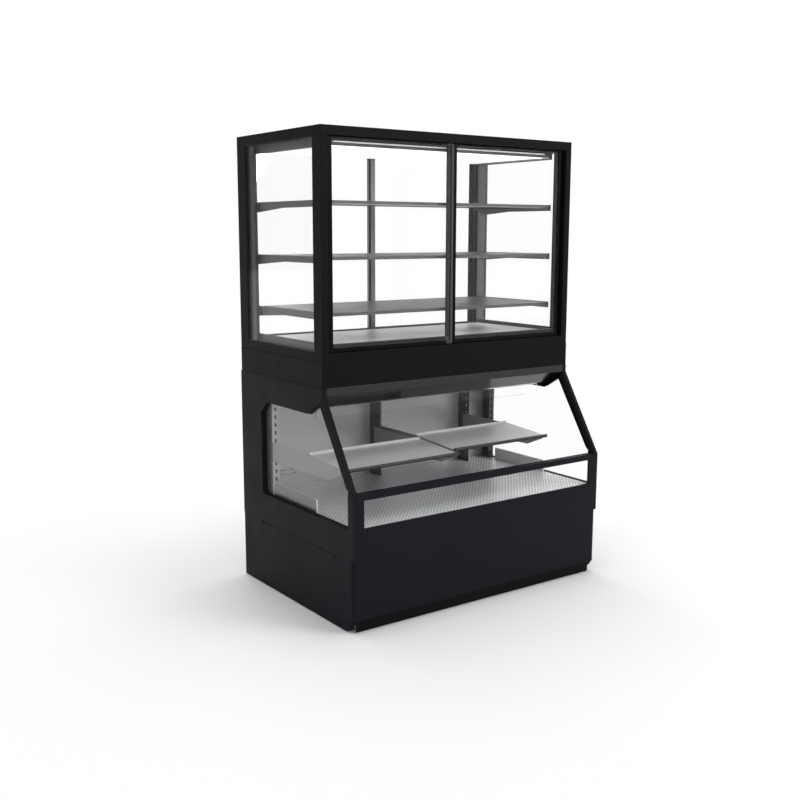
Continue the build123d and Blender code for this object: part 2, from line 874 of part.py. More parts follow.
def fan(centre, y_span, hub_radius, tip_radius, shaft, blade_count):
    """Bored hub with pitched blades, turning about Y."""
    middle = (y_span[0] + y_span[1]) / 2
    depth = y_span[1] - y_span[0]
    cylinder_y(centre, hub_radius, y_span)
    blade_length = tip_radius - hub_radius
    blade_middle = (tip_radius + hub_radius - blade_root) / 2
    for index in range(blade_count):
        turn = 360 * index / blade_count
        rise = math.radians(turn)
        place = (
            centre[0] + blade_middle * math.cos(rise),
            middle,
            centre[1] + blade_middle * math.sin(rise),
        )
        with Locations(Location(place, (0, -turn, 0)) * Location((0, 0, 0), (blade_pitch, 0, 0))):
            Box(blade_length, blade_thickness, depth * blade_spread)
    cylinder_y(centre, shaft + running_gap, y_span, mode=Mode.SUBTRACT)


condenser_fan_span = (shroud_front + motor_arm + fin, condenser_front - motor_arm - fin)
with BuildPart() as condenser_fan:
    fan(fan_centre, condenser_fan_span, condenser_hub, condenser_fan_radius, shaft_radius, condenser_blades)
condenser_fan.part.label = "condenser_fan"
export_step(condenser_fan.part, "parts/condenser_fan.step")

with BuildPart() as compressor:
    centre_x, centre_y = compressor_centre
    base_x, base_y, base_height = compressor_base
    block(
        (centre_x - base_x, centre_x + base_x),
        (centre_y - base_y, centre_y + base_y),
        (pan_top, pan_top + base_height),
    )
    cylinder_z(compressor_centre, compressor_radius, (pan_top + base_height, pan_top + compressor_height))
    fillet(compressor.edges().filter_by(GeomType.CIRCLE).sort_by(Axis.Z)[-1], compressor_dome)
    box_near, box_far, box_half, box_low, box_high = terminal_box
    block(
        (centre_x + box_near, centre_x + box_far),
        (centre_y - box_half, centre_y + box_half),
        (pan_top + box_low, pan_top + box_high),
    )
compressor.part.label = "compressor"
export_step(compressor.part, "parts/compressor.step")

with BuildPart() as condensate_tray:
    block(tray_x, tray_y, (pan_top, pan_top + tray_height))
    block(
        (tray_x[0] + sheet, tray_x[1] - sheet),
        (tray_y[0] + sheet, tray_y[1] - sheet),
        (pan_top + sheet, pan_top + tray_height),
        mode=Mode.SUBTRACT,
    )
condensate_tray.part.label = "condensate_tray"
export_step(condensate_tray.part, "parts/condensate_tray.step")

# Cooling coils: one in the rear plenum, one in the base of the cabinet
coil_front = back_panel_y + sheet
coil_rear = rear_skin_front - tub_rear_wall
fan_z = canopy_bottom - fan_drop
evaporator_bottom = fan_z - evaporator_drop
upper_coil_bottom = joint_height + upper_coil_rise
with BuildPart() as evaporator_coils:
    for x in (-evaporator_size[0] / 2, evaporator_size[0] / 2):
        block(
            (x - coil_plate / 2, x + coil_plate / 2),
            (coil_front, coil_rear),
            (evaporator_bottom, evaporator_bottom + evaporator_size[2]),
        )
    plenum_middle = (coil_front + coil_rear) / 2
    with Locations((0, plenum_middle, evaporator_bottom + evaporator_size[2] / 2)):
        with GridLocations(evaporator_fin_pitch, 1, evaporator_fins, 1):
            Box(fin, evaporator_size[1], evaporator_size[2] - fin_end_gap)
    for row in range(evaporator_tubes):
        tube_z = evaporator_bottom + 2 * fin_end_gap + coil_tube_pitch * row
        with Locations((0, plenum_middle, tube_z)):
            Cylinder(coil_tube_radius, evaporator_size[0], rotation=(0, 90, 0))
    plate_x, plate_y, plate_z = upper_coil_plate
    block(
        (-plate_x / 2, plate_x / 2),
        (upper_coil_y - plate_y / 2, upper_coil_y + plate_y / 2),
        (upper_coil_bottom - plate_z, upper_coil_bottom),
    )
    upper_fin_z = upper_coil_bottom - fin + upper_coil_fin_height / 2
    with Locations((0, upper_coil_y, upper_fin_z)):
        with GridLocations(upper_coil_fin_pitch, 1, upper_coil_fins, 1):
            Box(fin, plate_y, upper_coil_fin_height)
evaporator_coils.part.label = "evaporator_coils"
export_step(evaporator_coils.part, "parts/evaporator_coils.step")

# Evaporator fans on the back of the polished panel
fan_frame_rear = coil_front + fan_frame_depth
with BuildPart() as evaporator_fan_frames:
    for x in (-fan_x, fan_x):
        block(
            (x - fan_frame / 2, x + fan_frame / 2),
            (coil_front, fan_frame_rear),
            (fan_z - fan_frame / 2, fan_z + fan_frame / 2),
        )
        cylinder_y((x, fan_z), fan_radius + skin, (coil_front, fan_frame_rear), mode=Mode.SUBTRACT)
        for half in ((fan_radius + motor_arm, coil_plate), (coil_plate, fan_radius + motor_arm)):
            block(
                (x - half[0], x + half[0]),
                (fan_frame_rear - motor_arm, fan_frame_rear),
                (fan_z - half[1], fan_z + half[1]),
            )
        cylinder_y((x, fan_z), fan_hub, (fan_frame_rear - motor_arm, fan_frame_rear))
        cylinder_y((x, fan_z), fan_shaft, (coil_front + motor_arm, fan_frame_rear - motor_arm))
evaporator_fan_frames.part.label = "evaporator_fan_frames"
export_step(evaporator_fan_frames.part, "parts/evaporator_fan_frames.step")

fan_span = (coil_front + coil_plate, fan_frame_rear - motor_arm - fin)
for side, name in ((-1, "left"), (1, "right")):
    with BuildPart() as evaporator_fan:
        fan((side * fan_x, fan_z), fan_span, fan_hub, fan_radius, fan_shaft, fan_blades)
    evaporator_fan.part.label = f"evaporator_fan_{name}"
    export_step(evaporator_fan.part, f"parts/evaporator_fan_{name}.step")

# Apron of the cabinet: four walls, with the front skin carried up past the bottom frame
apron_top = joint_height + apron_height
apron_rear = rear - control_recess
control_x = cover_outer - control_inset
control_z = joint_height + apron_height / 2
with BuildPart() as apron:
    block((-cover_outer, cover_outer), (upper_front, apron_rear), (joint_height, apron_top))
    block(
        (apron_wall - cover_outer, cover_outer - apron_wall),
        (upper_front + apron_wall, apron_rear - apron_wall),
        (joint_height, apron_top),
        mode=Mode.SUBTRACT,
    )
    block((-frame_outer, frame_outer), (upper_front, upper_front + skin), (apron_top, fascia_top))
    block(
        (control_x - control_half[0], control_x + control_half[0]),
        (apron_rear - apron_wall, apron_rear),
        (control_z - control_half[1], control_z + control_half[1]),
        mode=Mode.SUBTRACT,
    )
apron.part.label = "apron"
export_step(apron.part, "parts/apron.step")

# Insulated base of the cabinet, inside the apron
with BuildPart() as upper_tub:
    tub_x = (apron_wall - cover_outer, cover_outer - apron_wall)
    tub_y = (upper_front + apron_wall, apron_rear - apron_wall)
    block(tub_x, tub_y, (joint_height, apron_top))
    block(
        (tub_x[0] + base_bar, tub_x[1] - base_bar),
        (tub_y[0] + base_bar, tub_y[1] - base_bar),
        (upper_coil_bottom - plate_z, apron_top),
        mode=Mode.SUBTRACT,
    )
upper_tub.part.label = "upper_tub"
export_step(upper_tub.part, "parts/upper_tub.step")

# Control panel at the rear: plate, body, display recess and two rocker wells
rocker_x = [control_x + offset_x for offset_x in rocker_offsets]
rocker_pivot_y = apron_rear - rocker_setback
well_half = (rocker_half[0] + slide_gap, rocker_half[1] + slide_gap)
plate_half = (control_half[0] + control_flange, control_half[1] + control_flange)
plate_rear = apron_rear + control_plate
with BuildPart() as control_panel:
    block(
        (control_x - control_half[0], control_x + control_half[0]),
        (apron_rear - apron_wall, apron_rear),
        (control_z - control_half[1], control_z + control_half[1]),
    )
    block(
        (control_x - plate_half[0], control_x + plate_half[0]),
        (apron_rear, plate_rear),
        (control_z - plate_half[1], control_z + plate_half[1]),
    )
    block(
        (control_x + display_x[0], control_x + display_x[1]),
        (plate_rear, rear),
        (control_z - display_half_height, control_z + display_half_height),
    )
    block(
        (control_x + display_recess_x[0], control_x + display_recess_x[1]),
        (rear - display_recess_depth, rear),
        (control_z - display_recess_half_height, control_z + display_recess_half_height),
        mode=Mode.SUBTRACT,
    )
    for x in rocker_x:
        block(
            (x - well_half[0], x + well_half[0]),
            (rocker_pivot_y - well_depth, rear),
            (control_z - well_half[1], control_z + well_half[1]),
            mode=Mode.SUBTRACT,
        )
        with Locations((x, rocker_pivot_y, control_z)):
            pin_hole = 2 * well_half[0] + skin
            Cylinder(rocker_pin + running_gap, pin_hole, rotation=(0, 90, 0), mode=Mode.SUBTRACT)
control_panel.part.label = "control_panel"
export_step(control_panel.part, "parts/control_panel.step")

# Rocker switches, tilted to their off position
for x, name in zip(rocker_x, ("power_switch", "light_switch")):
    with BuildPart() as rocker:
        with Locations(Location((x, rocker_pivot_y, control_z), (-rocker_tilt, 0, 0))):
            Box(2 * rocker_half[0], rocker_depth, 2 * rocker_half[1])
        with Locations((x, rocker_pivot_y, control_z)):
            Cylinder(rocker_pin, 2 * (well_half[0] + rocker_pin_reach), rotation=(0, 90, 0))
    rocker.part.label = name
    export_step(rocker.part, f"parts/{name}.step")

# Bottom frame of the cabinet: side rails with wider front and rear rails
side_rail_top = apron_top + rail_bottom
with BuildPart() as bottom_frame:
    for side in (-1, 1):
        block(
            side_span(side, frame_inner, frame_outer),
            (upper_front + skin, rear),
            (apron_top, side_rail_top),
        )
    block(
        (-frame_inner, frame_inner),
        (upper_front + skin, upper_front + front_rail_depth),
        (apron_top, fascia_top),
    )
    block((-frame_inner, frame_inner), (rear - rear_rail_depth, rear), (apron_top, fascia_top))
bottom_frame.part.label = "bottom_frame"
export_step(bottom_frame.part, "parts/bottom_frame.step")

# Corner posts of the cabinet; each rear post has a pocket that takes the edge of its door
track_front = rear - rear_post_depth + sheet
lane = rear_door_depth + 2 * slide_gap + track_rib
with BuildPart() as corner_posts:
    for side in (-1, 1):
        span = side_span(side, frame_inner, frame_outer)
        block(span, (upper_front, upper_front + front_post_depth), (side_rail_top, top_frame_bottom))
        block(span, (upper_front, upper_front + skin), (side_rail_top, fascia_top), mode=Mode.SUBTRACT)
        block(span, (rear - rear_post_depth, rear), (side_rail_top, top_frame_bottom))
    for side, index in ((-1, 0), (1, 1)):
        pocket_front = track_front + track_rib + index * lane
        block(
            side_span(side, frame_inner, frame_inner + rear_door_pocket + slide_gap),
            (pocket_front, pocket_front + rear_door_depth + 2 * slide_gap),
            (fascia_top, side_frame_bottom),
            mode=Mode.SUBTRACT,
        )
corner_posts.part.label = "corner_posts"
export_step(corner_posts.part, "parts/corner_posts.step")

# Top frame and the panel let into it
with BuildPart() as top_frame:
    block((-frame_outer, frame_outer), (upper_front, rear), (top_frame_bottom, case_height))
    block(
        (-frame_inner, frame_inner),
        (upper_front + top_front_rail, rear - top_rear_rail),
        (top_frame_bottom, case_height),
        mode=Mode.SUBTRACT,
    )
    for side in (-1, 1):
        block(
            side_span(side, frame_inner, frame_outer),
            (upper_front + front_post_depth, rear - rear_post_depth),
            (side_frame_bottom, top_frame_bottom),
        )
    block((-frame_inner, frame_inner), (rear - top_rear_rail, rear), (side_frame_bottom, top_frame_bottom))
top_frame.part.label = "top_frame"
export_step(top_frame.part, "parts/top_frame.step")

with BuildPart() as top_panel:
    block(
        (-frame_inner, frame_inner),
        (upper_front + top_front_rail, rear - top_rear_rail),
        (case_height - 4 * sheet, case_height - sheet),
    )
top_panel.part.label = "top_panel"
export_step(top_panel.part, "parts/top_panel.step")

# Side panes, set between the posts and rails
with BuildPart() as side_panes:
    for side in (-1, 1):
        block(
            side_span(side, frame_outer - side_pane_setback - side_pane, frame_outer - side_pane_setback),
            (upper_front + front_post_depth, rear - rear_post_depth),
            (side_rail_top, side_frame_bottom),
        )
side_panes.part.label = "side_panes"
export_step(side_panes.part, "parts/side_panes.step")

# Front doors: a stepped frame with a full front pane and a smaller inner pane
door_front = upper_front + door_recess
door_rear = door_front + door_depth
door_outer = frame_inner - door_gap
door_bottom = fascia_top + door_foot_gap
door_top = top_frame_bottom - door_foot_gap
pivot_x = door_outer - pivot_inset
pivot_y = door_front + pivot_setback
for side, name in ((-1, "left"), (1, "right")):
    with BuildPart() as front_door:
        block(side_span(side, meeting_gap, door_outer), (door_front, door_rear), (door_bottom, door_top))
        block(
            side_span(side, meeting_gap + border_meeting, door_outer - border_outer),
            (door_front, door_front + door_pane),
            (door_bottom + border_bottom, door_top - border_top),
            mode=Mode.SUBTRACT,
        )
        block(
            side_span(side, meeting_gap + inner_meeting, door_outer - inner_outer),
            (door_front + door_pane, door_rear),
            (door_bottom + inner_bottom, door_top - inner_top),
            mode=Mode.SUBTRACT,
        )
        for z_span in ((door_bottom, door_bottom + pivot_hole), (door_top - pivot_hole_top, door_top)):
            cylinder_z((side * pivot_x, pivot_y), pivot_radius + running_gap, z_span, mode=Mode.SUBTRACT)
    front_door.part.label = f"front_door_{name}"
    export_step(front_door.part, f"parts/front_door_{name}.step")

    with BuildPart() as front_glass:
        block(
            side_span(side, meeting_gap + border_meeting, door_outer - border_outer),
            (door_front + 1, door_front + door_pane),
            (door_bottom + border_bottom, door_top - border_top),
        )
        block(
            side_span(side, meeting_gap + inner_meeting, door_outer - inner_outer),
            (door_rear - sheet - inner_pane, door_rear - sheet),
            (door_bottom + inner_bottom, door_top - inner_top),
        )
    front_glass.part.label = f"front_glass_{name}"
    export_step(front_glass.part, f"parts/front_glass_{name}.step")

# Pivot pins of the front doors, each with a collar that the door turns on
with BuildPart() as door_pivots:
    for side in (-1, 1):
        place = (side * pivot_x, pivot_y)
        cylinder_z(place, pivot_collar, (fascia_top, door_bottom - seat_gap))
        cylinder_z(place, pivot_radius, (fascia_top, door_bottom + pivot_hole - 1))
        cylinder_z(place, pivot_collar, (door_top + seat_gap, top_frame_bottom))
        cylinder_z(place, pivot_radius, (door_top - pivot_hole_top + 1, top_frame_bottom))
door_pivots.part.label = "door_pivots"
export_step(door_pivots.part, "parts/door_pivots.step")

# Rear door tracks: a base with three ribs, below and above the doors
track_rear = track_front + 2 * lane + track_rib
with BuildPart() as rear_door_tracks:
    for base, direction in ((fascia_top, 1), (side_frame_bottom, -1)):
        seat = base + direction * track_base
        block((-frame_inner, frame_inner), (track_front, track_rear), tuple(sorted((base, seat))))
        for index in range(3):
            rib_y = track_front + index * lane
            block(
                (-frame_inner, frame_inner),
                (rib_y, rib_y + track_rib),
                tuple(sorted((base, seat + direction * track_lip))),
            )
rear_door_tracks.part.label = "rear_door_tracks"
export_step(rear_door_tracks.part, "parts/rear_door_tracks.step")

# Sliding rear doors: slim stiles and rails round a pane, with a finger pull ground into it
rear_door_bottom = fascia_top + track_base + slide_gap
rear_door_top = side_frame_bottom - track_base - slide_gap
for side, name, index in ((-1, "left", 0), (1, "right", 1)):
    lane_front = track_front + track_rib + slide_gap + index * lane
    lane_rear = lane_front + rear_door_depth
    door_x = (side * (frame_inner + rear_door_pocket), -side * meeting_stile / 2)
    opening_x = (door_x[0] - side * rear_door_stile, door_x[1] + side * meeting_stile)
    opening_z = (rear_door_bottom + rear_door_rail, rear_door_top - rear_door_rail)
    with BuildPart() as rear_door:
        block(tuple(sorted(door_x)), (lane_front, lane_rear), (rear_door_bottom, rear_door_top))
        block(tuple(sorted(opening_x)), (lane_front, lane_rear), opening_z, mode=Mode.SUBTRACT)
    rear_door.part.label = f"rear_door_{name}"
    export_step(rear_door.part, f"parts/rear_door_{name}.step")

    pane_front = (lane_front + lane_rear - rear_pane) / 2
    with BuildPart() as rear_glass:
        block(tuple(sorted(opening_x)), (pane_front, pane_front + rear_pane), opening_z)
        pull_outer = abs(opening_x[0]) - pull_inset
        pull_z = (rear_door_bottom + rear_door_top) / 2
        block(
            side_span(side, pull_outer - pull_size[0], pull_outer),
            (pane_front + rear_pane - pull_depth, pane_front + rear_pane),
            (pull_z - pull_size[1] / 2, pull_z + pull_size[1] / 2),
            mode=Mode.SUBTRACT,
        )
    rear_glass.part.label = f"rear_glass_{name}"
    export_step(rear_glass.part, f"parts/rear_glass_{name}.step")

# Shelves of the cabinet: a sheet with its edges folded down, least at the rear
shelf_rise = side_frame_bottom - fascia_top
shelf_tops = [round(fascia_top + shelf_rise * share, 1) for share in shelf_shares]
shelf_half = frame_inner - shelf_end_gap
with BuildPart() as display_shelves:
    for top in shelf_tops:
        block((-shelf_half, shelf_half), (cabinet_front, shelf_rear), (top - shelf_fold, top))
        block(
            (sheet - shelf_half, shelf_half - sheet),
            (cabinet_front + sheet, shelf_rear - sheet),
            (top - shelf_fold, top - sheet),
            mode=Mode.SUBTRACT,
        )
        block(
            (-shelf_half, shelf_half),
            (shelf_rear - sheet, shelf_rear),
            (top - shelf_fold, top - shelf_rear_fold),
            mode=Mode.SUBTRACT,
        )
display_shelves.part.label = "display_shelves"
export_step(display_shelves.part, "parts/display_shelves.step")

# Lit panel under the top
light_panel_top = side_frame_bottom - light_panel_drop
light_panel_bottom = light_panel_top - light_panel_depth
with BuildPart() as light_panel:
    block((-shelf_half, shelf_half), (cabinet_front, shelf_rear), (light_panel_bottom, light_panel_top))
light_panel.part.label = "light_panel"
export_step(light_panel.part, "parts/light_panel.step")

# Uprights between the rear posts and the glass line, and the arms hooked to their inner face
upright_outer = frame_outer - side_pane_setback - side_pane - upright_gap
upright_inner_face = upright_outer - upright_width
upright_rear = rear - rear_post_depth
with BuildPart() as upper_uprights:
    for side in (-1, 1):
        block(
            side_span(side, upright_inner_face, upright_outer),
            (upright_rear - upright_depth, upright_rear),
            (side_rail_top, side_frame_bottom),
        )
upper_uprights.part.label = "upper_uprights"
export_step(upper_uprights.part, "parts/upper_uprights.step")

arm_plane = frame_inner - arm_inset
arm_front_y = cabinet_front + arm_front_setback
arm_levels = [
    (top + arm_rise, top + arm_rise - arm_front_height, top + arm_rise - arm_rear_height, top - shelf_fold)
    for top in shelf_tops
]
top_arm_low = light_panel_bottom - top_arm_drop
arm_levels.append((light_panel_bottom + top_arm_rise, top_arm_low, top_arm_low - arm_rise, light_panel_bottom))
with BuildPart() as shelf_arms:
    for arm_top, arm_low, heel_low, seat_z in arm_levels:
        arm_points = [
            (arm_front_y, arm_top),
            (arm_front_y, arm_low),
            (arm_rear_y - arm_taper_rear, arm_low),
            (arm_rear_y - arm_taper_front, heel_low),
            (arm_rear_y, heel_low),
            (arm_rear_y, arm_top),
        ]
        for side in (-1, 1):
            profile_x(arm_points, side_span(side, arm_plane, arm_plane + arm_thickness_upper))
            block(
                side_span(side, arm_plane - arm_flange, arm_plane),
                (arm_front_y, shelf_rear),
                (seat_z - sheet, seat_z),
            )
            block(
                side_span(side, arm_plane + arm_thickness_upper, upright_inner_face),
                (arm_hook_y, arm_rear_y),
                (heel_low, arm_top),
            )
shelf_arms.part.label = "shelf_arms"
export_step(shelf_arms.part, "parts/shelf_arms.step")

# Light strips: behind each shelf's front fold, under the lit panel and behind the air outlet
with BuildPart() as led_strips:
    strip_half = arm_plane - arm_flange - strip_end_gap
    strip_front = cabinet_front + sheet
    for top in shelf_tops:
        block(
            (-strip_half, strip_half),
            (strip_front, strip_front + shelf_strip[0]),
            (top - sheet - shelf_strip[1], top - sheet),
        )
    block(
        (-strip_half, strip_half),
        (cabinet_front + panel_strip[0], cabinet_front + panel_strip[1]),
        (light_panel_bottom - panel_strip_depth, light_panel_bottom),
    )
    block(
        (-strip_half, strip_half),
        (cabinet_front + edge_strip[0], cabinet_front + edge_strip[1]),
        (light_panel_top, light_panel_top + edge_strip_height),
    )
    block(
        (-strip_half, strip_half),
        (canopy_low_front + canopy_strip[0], canopy_low_front + canopy_strip[1]),
        (canopy_bottom - canopy_strip_depth, canopy_bottom),
    )
led_strips.part.label = "led_strips"
export_step(led_strips.part, "parts/led_strips.step")

# Lit deck of the cabinet: a tray on the rails with a skirt that stands above it
deck_rear = arm_rear_y + skin
upper_deck_top = fascia_top + deck_height
upper_skirt_top = fascia_top + deck_skirt_height
with BuildPart() as upper_deck:
    block((-frame_inner, frame_inner), (cabinet_front, deck_rear), (fascia_top, upper_skirt_top))
    block(
        (sheet - frame_inner, frame_inner - sheet),
        (cabinet_front + sheet, deck_rear - sheet),
        (fascia_top, upper_deck_top - sheet),
        mode=Mode.SUBTRACT,
    )
    block(
        (sheet - frame_inner, frame_inner - sheet),
        (cabinet_front + sheet, deck_rear - sheet),
        (upper_deck_top, upper_skirt_top),
        mode=Mode.SUBTRACT,
    )
    for side in (-1, 1):
        block(
            side_span(side, frame_inner - sheet, frame_inner),
            (cabinet_front, deck_rear),
            (fascia_top, fascia_top + deck_side_height),
        )
upper_deck.part.label = "upper_deck"
export_step(upper_deck.part, "parts/upper_deck.step")
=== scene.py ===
import bpy
import bmesh
import json
import math
from mathutils import Matrix, Vector


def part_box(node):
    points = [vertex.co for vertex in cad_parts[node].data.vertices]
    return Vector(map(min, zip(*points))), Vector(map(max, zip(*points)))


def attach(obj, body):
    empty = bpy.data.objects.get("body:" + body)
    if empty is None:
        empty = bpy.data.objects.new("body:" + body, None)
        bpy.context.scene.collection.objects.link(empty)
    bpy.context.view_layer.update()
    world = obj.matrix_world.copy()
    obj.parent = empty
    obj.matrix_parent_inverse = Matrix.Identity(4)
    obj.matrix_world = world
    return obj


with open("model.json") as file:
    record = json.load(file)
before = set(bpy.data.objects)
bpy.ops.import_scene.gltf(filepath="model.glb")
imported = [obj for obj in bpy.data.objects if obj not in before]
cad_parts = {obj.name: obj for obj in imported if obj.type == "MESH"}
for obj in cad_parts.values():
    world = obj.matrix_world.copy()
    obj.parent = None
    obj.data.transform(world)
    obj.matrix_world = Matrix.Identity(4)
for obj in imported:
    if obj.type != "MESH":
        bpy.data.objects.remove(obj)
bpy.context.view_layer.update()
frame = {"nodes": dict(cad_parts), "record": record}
nodes = frame["nodes"]
print("frame loaded:", len(nodes), "nodes")

# Camera, solved from the edges of the case in the photograph
camera = {
    "place": (-2.4384, -3.2384, 1.3998),
    "yaw": 35.749,      # degrees from +Y towards +X
    "pitch": 9.415,     # degrees down
    "roll": 0.131,
    "lens": 45.61,
    "sensor": 36.0,
    "far": 100.0,
}


def addCamera():
    yaw, pitch, roll = (math.radians(camera[key]) for key in ("yaw", "pitch", "roll"))
    ahead = Vector((math.sin(yaw) * math.cos(pitch), math.cos(yaw) * math.cos(pitch), -math.sin(pitch)))
    level = Vector((math.cos(yaw), -math.sin(yaw), 0))
    over = level.cross(ahead)
    right = level * math.cos(roll) + over * math.sin(roll)
    up = right.cross(ahead)
    data = bpy.data.cameras.new("camera")
    data.lens = camera["lens"]
    data.sensor_width = camera["sensor"]
    data.clip_end = camera["far"]
    eye = bpy.data.objects.new("camera", data)
    turn = Matrix((right, up, -ahead)).transposed().to_4x4()
    eye.matrix_world = Matrix.Translation(camera["place"]) @ turn
    bpy.context.scene.collection.objects.link(eye)
    bpy.context.scene.camera = eye


addCamera()
print("camera set")

# Node building blocks
def put(tree, socket, value):
    # a socket takes a link, a colour of three parts or a number
    if isinstance(value, bpy.types.NodeSocket):
        tree.links.new(value, socket)
    elif isinstance(value, tuple):
        socket.default_value = (*value, 1)
    else:
        socket.default_value = value


def worked(tree, operation, *values, clamp=False):
    node = tree.nodes.new("ShaderNodeMath")
    node.operation = operation
    node.use_clamp = clamp
    for socket, value in zip(node.inputs, values):
        put(tree, socket, value)
    return node.outputs[0]


def mixed(tree, factor, first, second):
    node = tree.nodes.new("ShaderNodeMix")
    node.data_type = "RGBA"
    for key, value in (("Factor", factor), ("A", first), ("B", second)):
        put(tree, node.inputs[key], value)
    return node.outputs["Result"]


def remap(tree, value, low, high, fromLow=0.3, fromHigh=0.7, smooth=False):
    node = tree.nodes.new("ShaderNodeMapRange")
    if smooth:
        node.interpolation_type = "SMOOTHSTEP"
    node.inputs["From Min"].default_value = fromLow
    node.inputs["From Max"].default_value = fromHigh
    node.inputs["To Min"].default_value = low
    node.inputs["To Max"].default_value = high
    tree.links.new(value, node.inputs["Value"])
    return node.outputs["Result"]


def axes(tree, output):
    # the X, Y and Z parts of a texture coordinate or a normal
    coords = tree.nodes.new("ShaderNodeTexCoord")
    split = tree.nodes.new("ShaderNodeSeparateXYZ")
    tree.links.new(coords.outputs[output], split.inputs[0])
    return split.outputs


# Room: white world, pale floor that fades out to white, soft lamps
room = {
    "ambient": 0.55,
    "ambientColour": (0.97, 0.985, 1.0),
    "background": (1.0, 1.0, 1.0),
    "floorColour": (0.94, 0.94, 0.95),
    "floorRoughness": 0.9,
    "floorGloss": 0.1,
    "floorSize": 60.0,
    "clearFrom": 1.1,    # metres from the case where the floor starts to fade
    "clearTo": 2.2,
    "dimSide": 0.3,      # what gloss sees at the far left, where 1 is white
    "dimFrom": -0.55,
    "dimTo": -0.05,
}
lamps = [
    # name, place, target, size, watts
    ("key", (3.0, -4.6, 3.8), (0, 0, 0.9), 3.2, 130),
    ("fill", (-4.2, -2.6, 3.0), (0, 0, 0.8), 3.0, 18),
    ("top", (0.2, 0.4, 5.2), (0, 0, 0), 3.6, 110),
    ("back", (0.4, 4.4, 2.6), (0, 0, 1.2), 3.0, 60),
]


def addWorld():
    world = bpy.data.worlds.new("world")
    bpy.context.scene.world = world
    world.use_nodes = True
    tree = world.node_tree
    tree.nodes.clear()
    out = tree.nodes.new("ShaderNodeOutputWorld")
    mix = tree.nodes.new("ShaderNodeMixShader")
    path = tree.nodes.new("ShaderNodeLightPath").outputs
    light = tree.nodes.new("ShaderNodeBackground")
    put(tree, light.inputs["Color"], room["ambientColour"])
    put(tree, light.inputs["Strength"], room["ambient"])
    # gloss sees the far left darker, and camera and transmission rays see plain white
    side = remap(
        tree, axes(tree, "Generated")["X"], room["dimSide"], 1, room["dimFrom"], room["dimTo"], smooth=True,
    )
    direct = worked(tree, "SUBTRACT", 1, path["Is Glossy Ray"])
    white = tree.nodes.new("ShaderNodeBackground")
    put(tree, white.inputs["Color"], room["background"])
    put(tree, white.inputs["Strength"], worked(tree, "MAXIMUM", direct, side))
    cameraOrGlossy = worked(tree, "MAXIMUM", path["Is Camera Ray"], path["Is Glossy Ray"])
    seen = worked(tree, "MAXIMUM", cameraOrGlossy, path["Is Transmission Ray"])
    for value, socket in ((seen, 0), (light.outputs[0], 1), (white.outputs[0], 2)):
        tree.links.new(value, mix.inputs[socket])
    tree.links.new(mix.outputs[0], out.inputs[0])


def addLamps():
    for name, place, target, size, watts in lamps:
        data = bpy.data.lights.new(name, "AREA")
        data.shape = "DISK"
        data.size = size
        data.energy = watts
        lamp = bpy.data.objects.new(name, data)
        lamp.location = place
        aim = Vector(target) - Vector(place)
        lamp.rotation_euler = aim.to_track_quat("-Z", "Y").to_euler()
        bpy.context.scene.collection.objects.link(lamp)


def addFloor():
    bm = bmesh.new()
    bmesh.ops.create_grid(bm, x_segments=1, y_segments=1, size=room["floorSize"] / 2)
    mesh = bpy.data.meshes.new("floor")
    bm.to_mesh(mesh)
    bm.free()
    floor = bpy.data.objects.new("floor", mesh)
    bpy.context.scene.collection.objects.link(floor)
    material = bpy.data.materials.new("floor")
    material.use_nodes = True
    tree = material.node_tree
    shaded = tree.nodes["Principled BSDF"]
    put(tree, shaded.inputs["Base Color"], room["floorColour"])
    put(tree, shaded.inputs["Roughness"], room["floorRoughness"])
    put(tree, shaded.inputs["Specular IOR Level"], room["floorGloss"])
    glow = tree.nodes.new("ShaderNodeEmission")
    coords = tree.nodes.new("ShaderNodeTexCoord")
    far = tree.nodes.new("ShaderNodeVectorMath")
    far.operation = "LENGTH"
    tree.links.new(coords.outputs["Object"], far.inputs[0])
    fade = remap(tree, far.outputs["Value"], 0, 1, room["clearFrom"], room["clearTo"], smooth=True)
    mix = tree.nodes.new("ShaderNodeMixShader")
    for value, socket in ((fade, 0), (shaded.outputs[0], 1), (glow.outputs[0], 2)):
        tree.links.new(value, mix.inputs[socket])
    tree.links.new(mix.outputs[0], tree.nodes["Material Output"].inputs["Surface"])
    mesh.materials.append(material)


addWorld()
addLamps()
addFloor()
bpy.context.scene.view_settings.view_transform = "Standard"
print("room lit")


# Material building blocks, all on Object coordinates
peel = {"scale": 900, "detail": 2.0, "depth": 0.0003}    # orange peel of painted faces
brush = {"scale": 60, "detail": 6.0, "depth": 0.0002}    # grain of brushed metal
spread = {"gloss": 9, "paint": 2.2, "plastic": 14, "diffuser": 20}    # noise scales of slow changes
diffuser = {"rest": 0.3, "blend": 0.0005}    # share of the light above the given height
glass = {"index": 1.18, "smear": 3.5, "clear": (1.0, 1.0, 1.0), "shade": (0.96, 0.98, 0.97)}
doorTones = {
    "border": (0.0012, 0.0012, 0.0013),
    "profile": (0.045, 0.046, 0.049),
    "meeting": (0.068, 0.070, 0.075),
    "depth": 0.006,          # from the front face back to where the profile starts
    "blend": 0.0003,
    "meetingWidth": 0.030,
}
deckSlots = {
    "pitchX": 0.016,
    "pitchY": 0.009,
    "gap": 0.0029,
    "softness": 0.1,
    "dark": (0.055, 0.055, 0.058),
    "steel": (0.78, 0.785, 0.795),
    # painted shade: the darker grey of the deck's outward-facing faces
    "paintedShadeOutside": (0.13, 0.132, 0.14),
}
uprightSlots = {
    "pitch": 0.025,
    "tall": 0.014,
    "y": 0.333,
    "half": 0.0022,
    "black": (0.012, 0.012, 0.0125),
    "streaks": ((0.13, 0.13, 0.135), (0.24, 0.24, 0.245)),
}


def newMaterial(name):
    material = bpy.data.materials.new(name)
    material.use_nodes = True
    return material, material.node_tree, material.node_tree.nodes["Principled BSDF"]


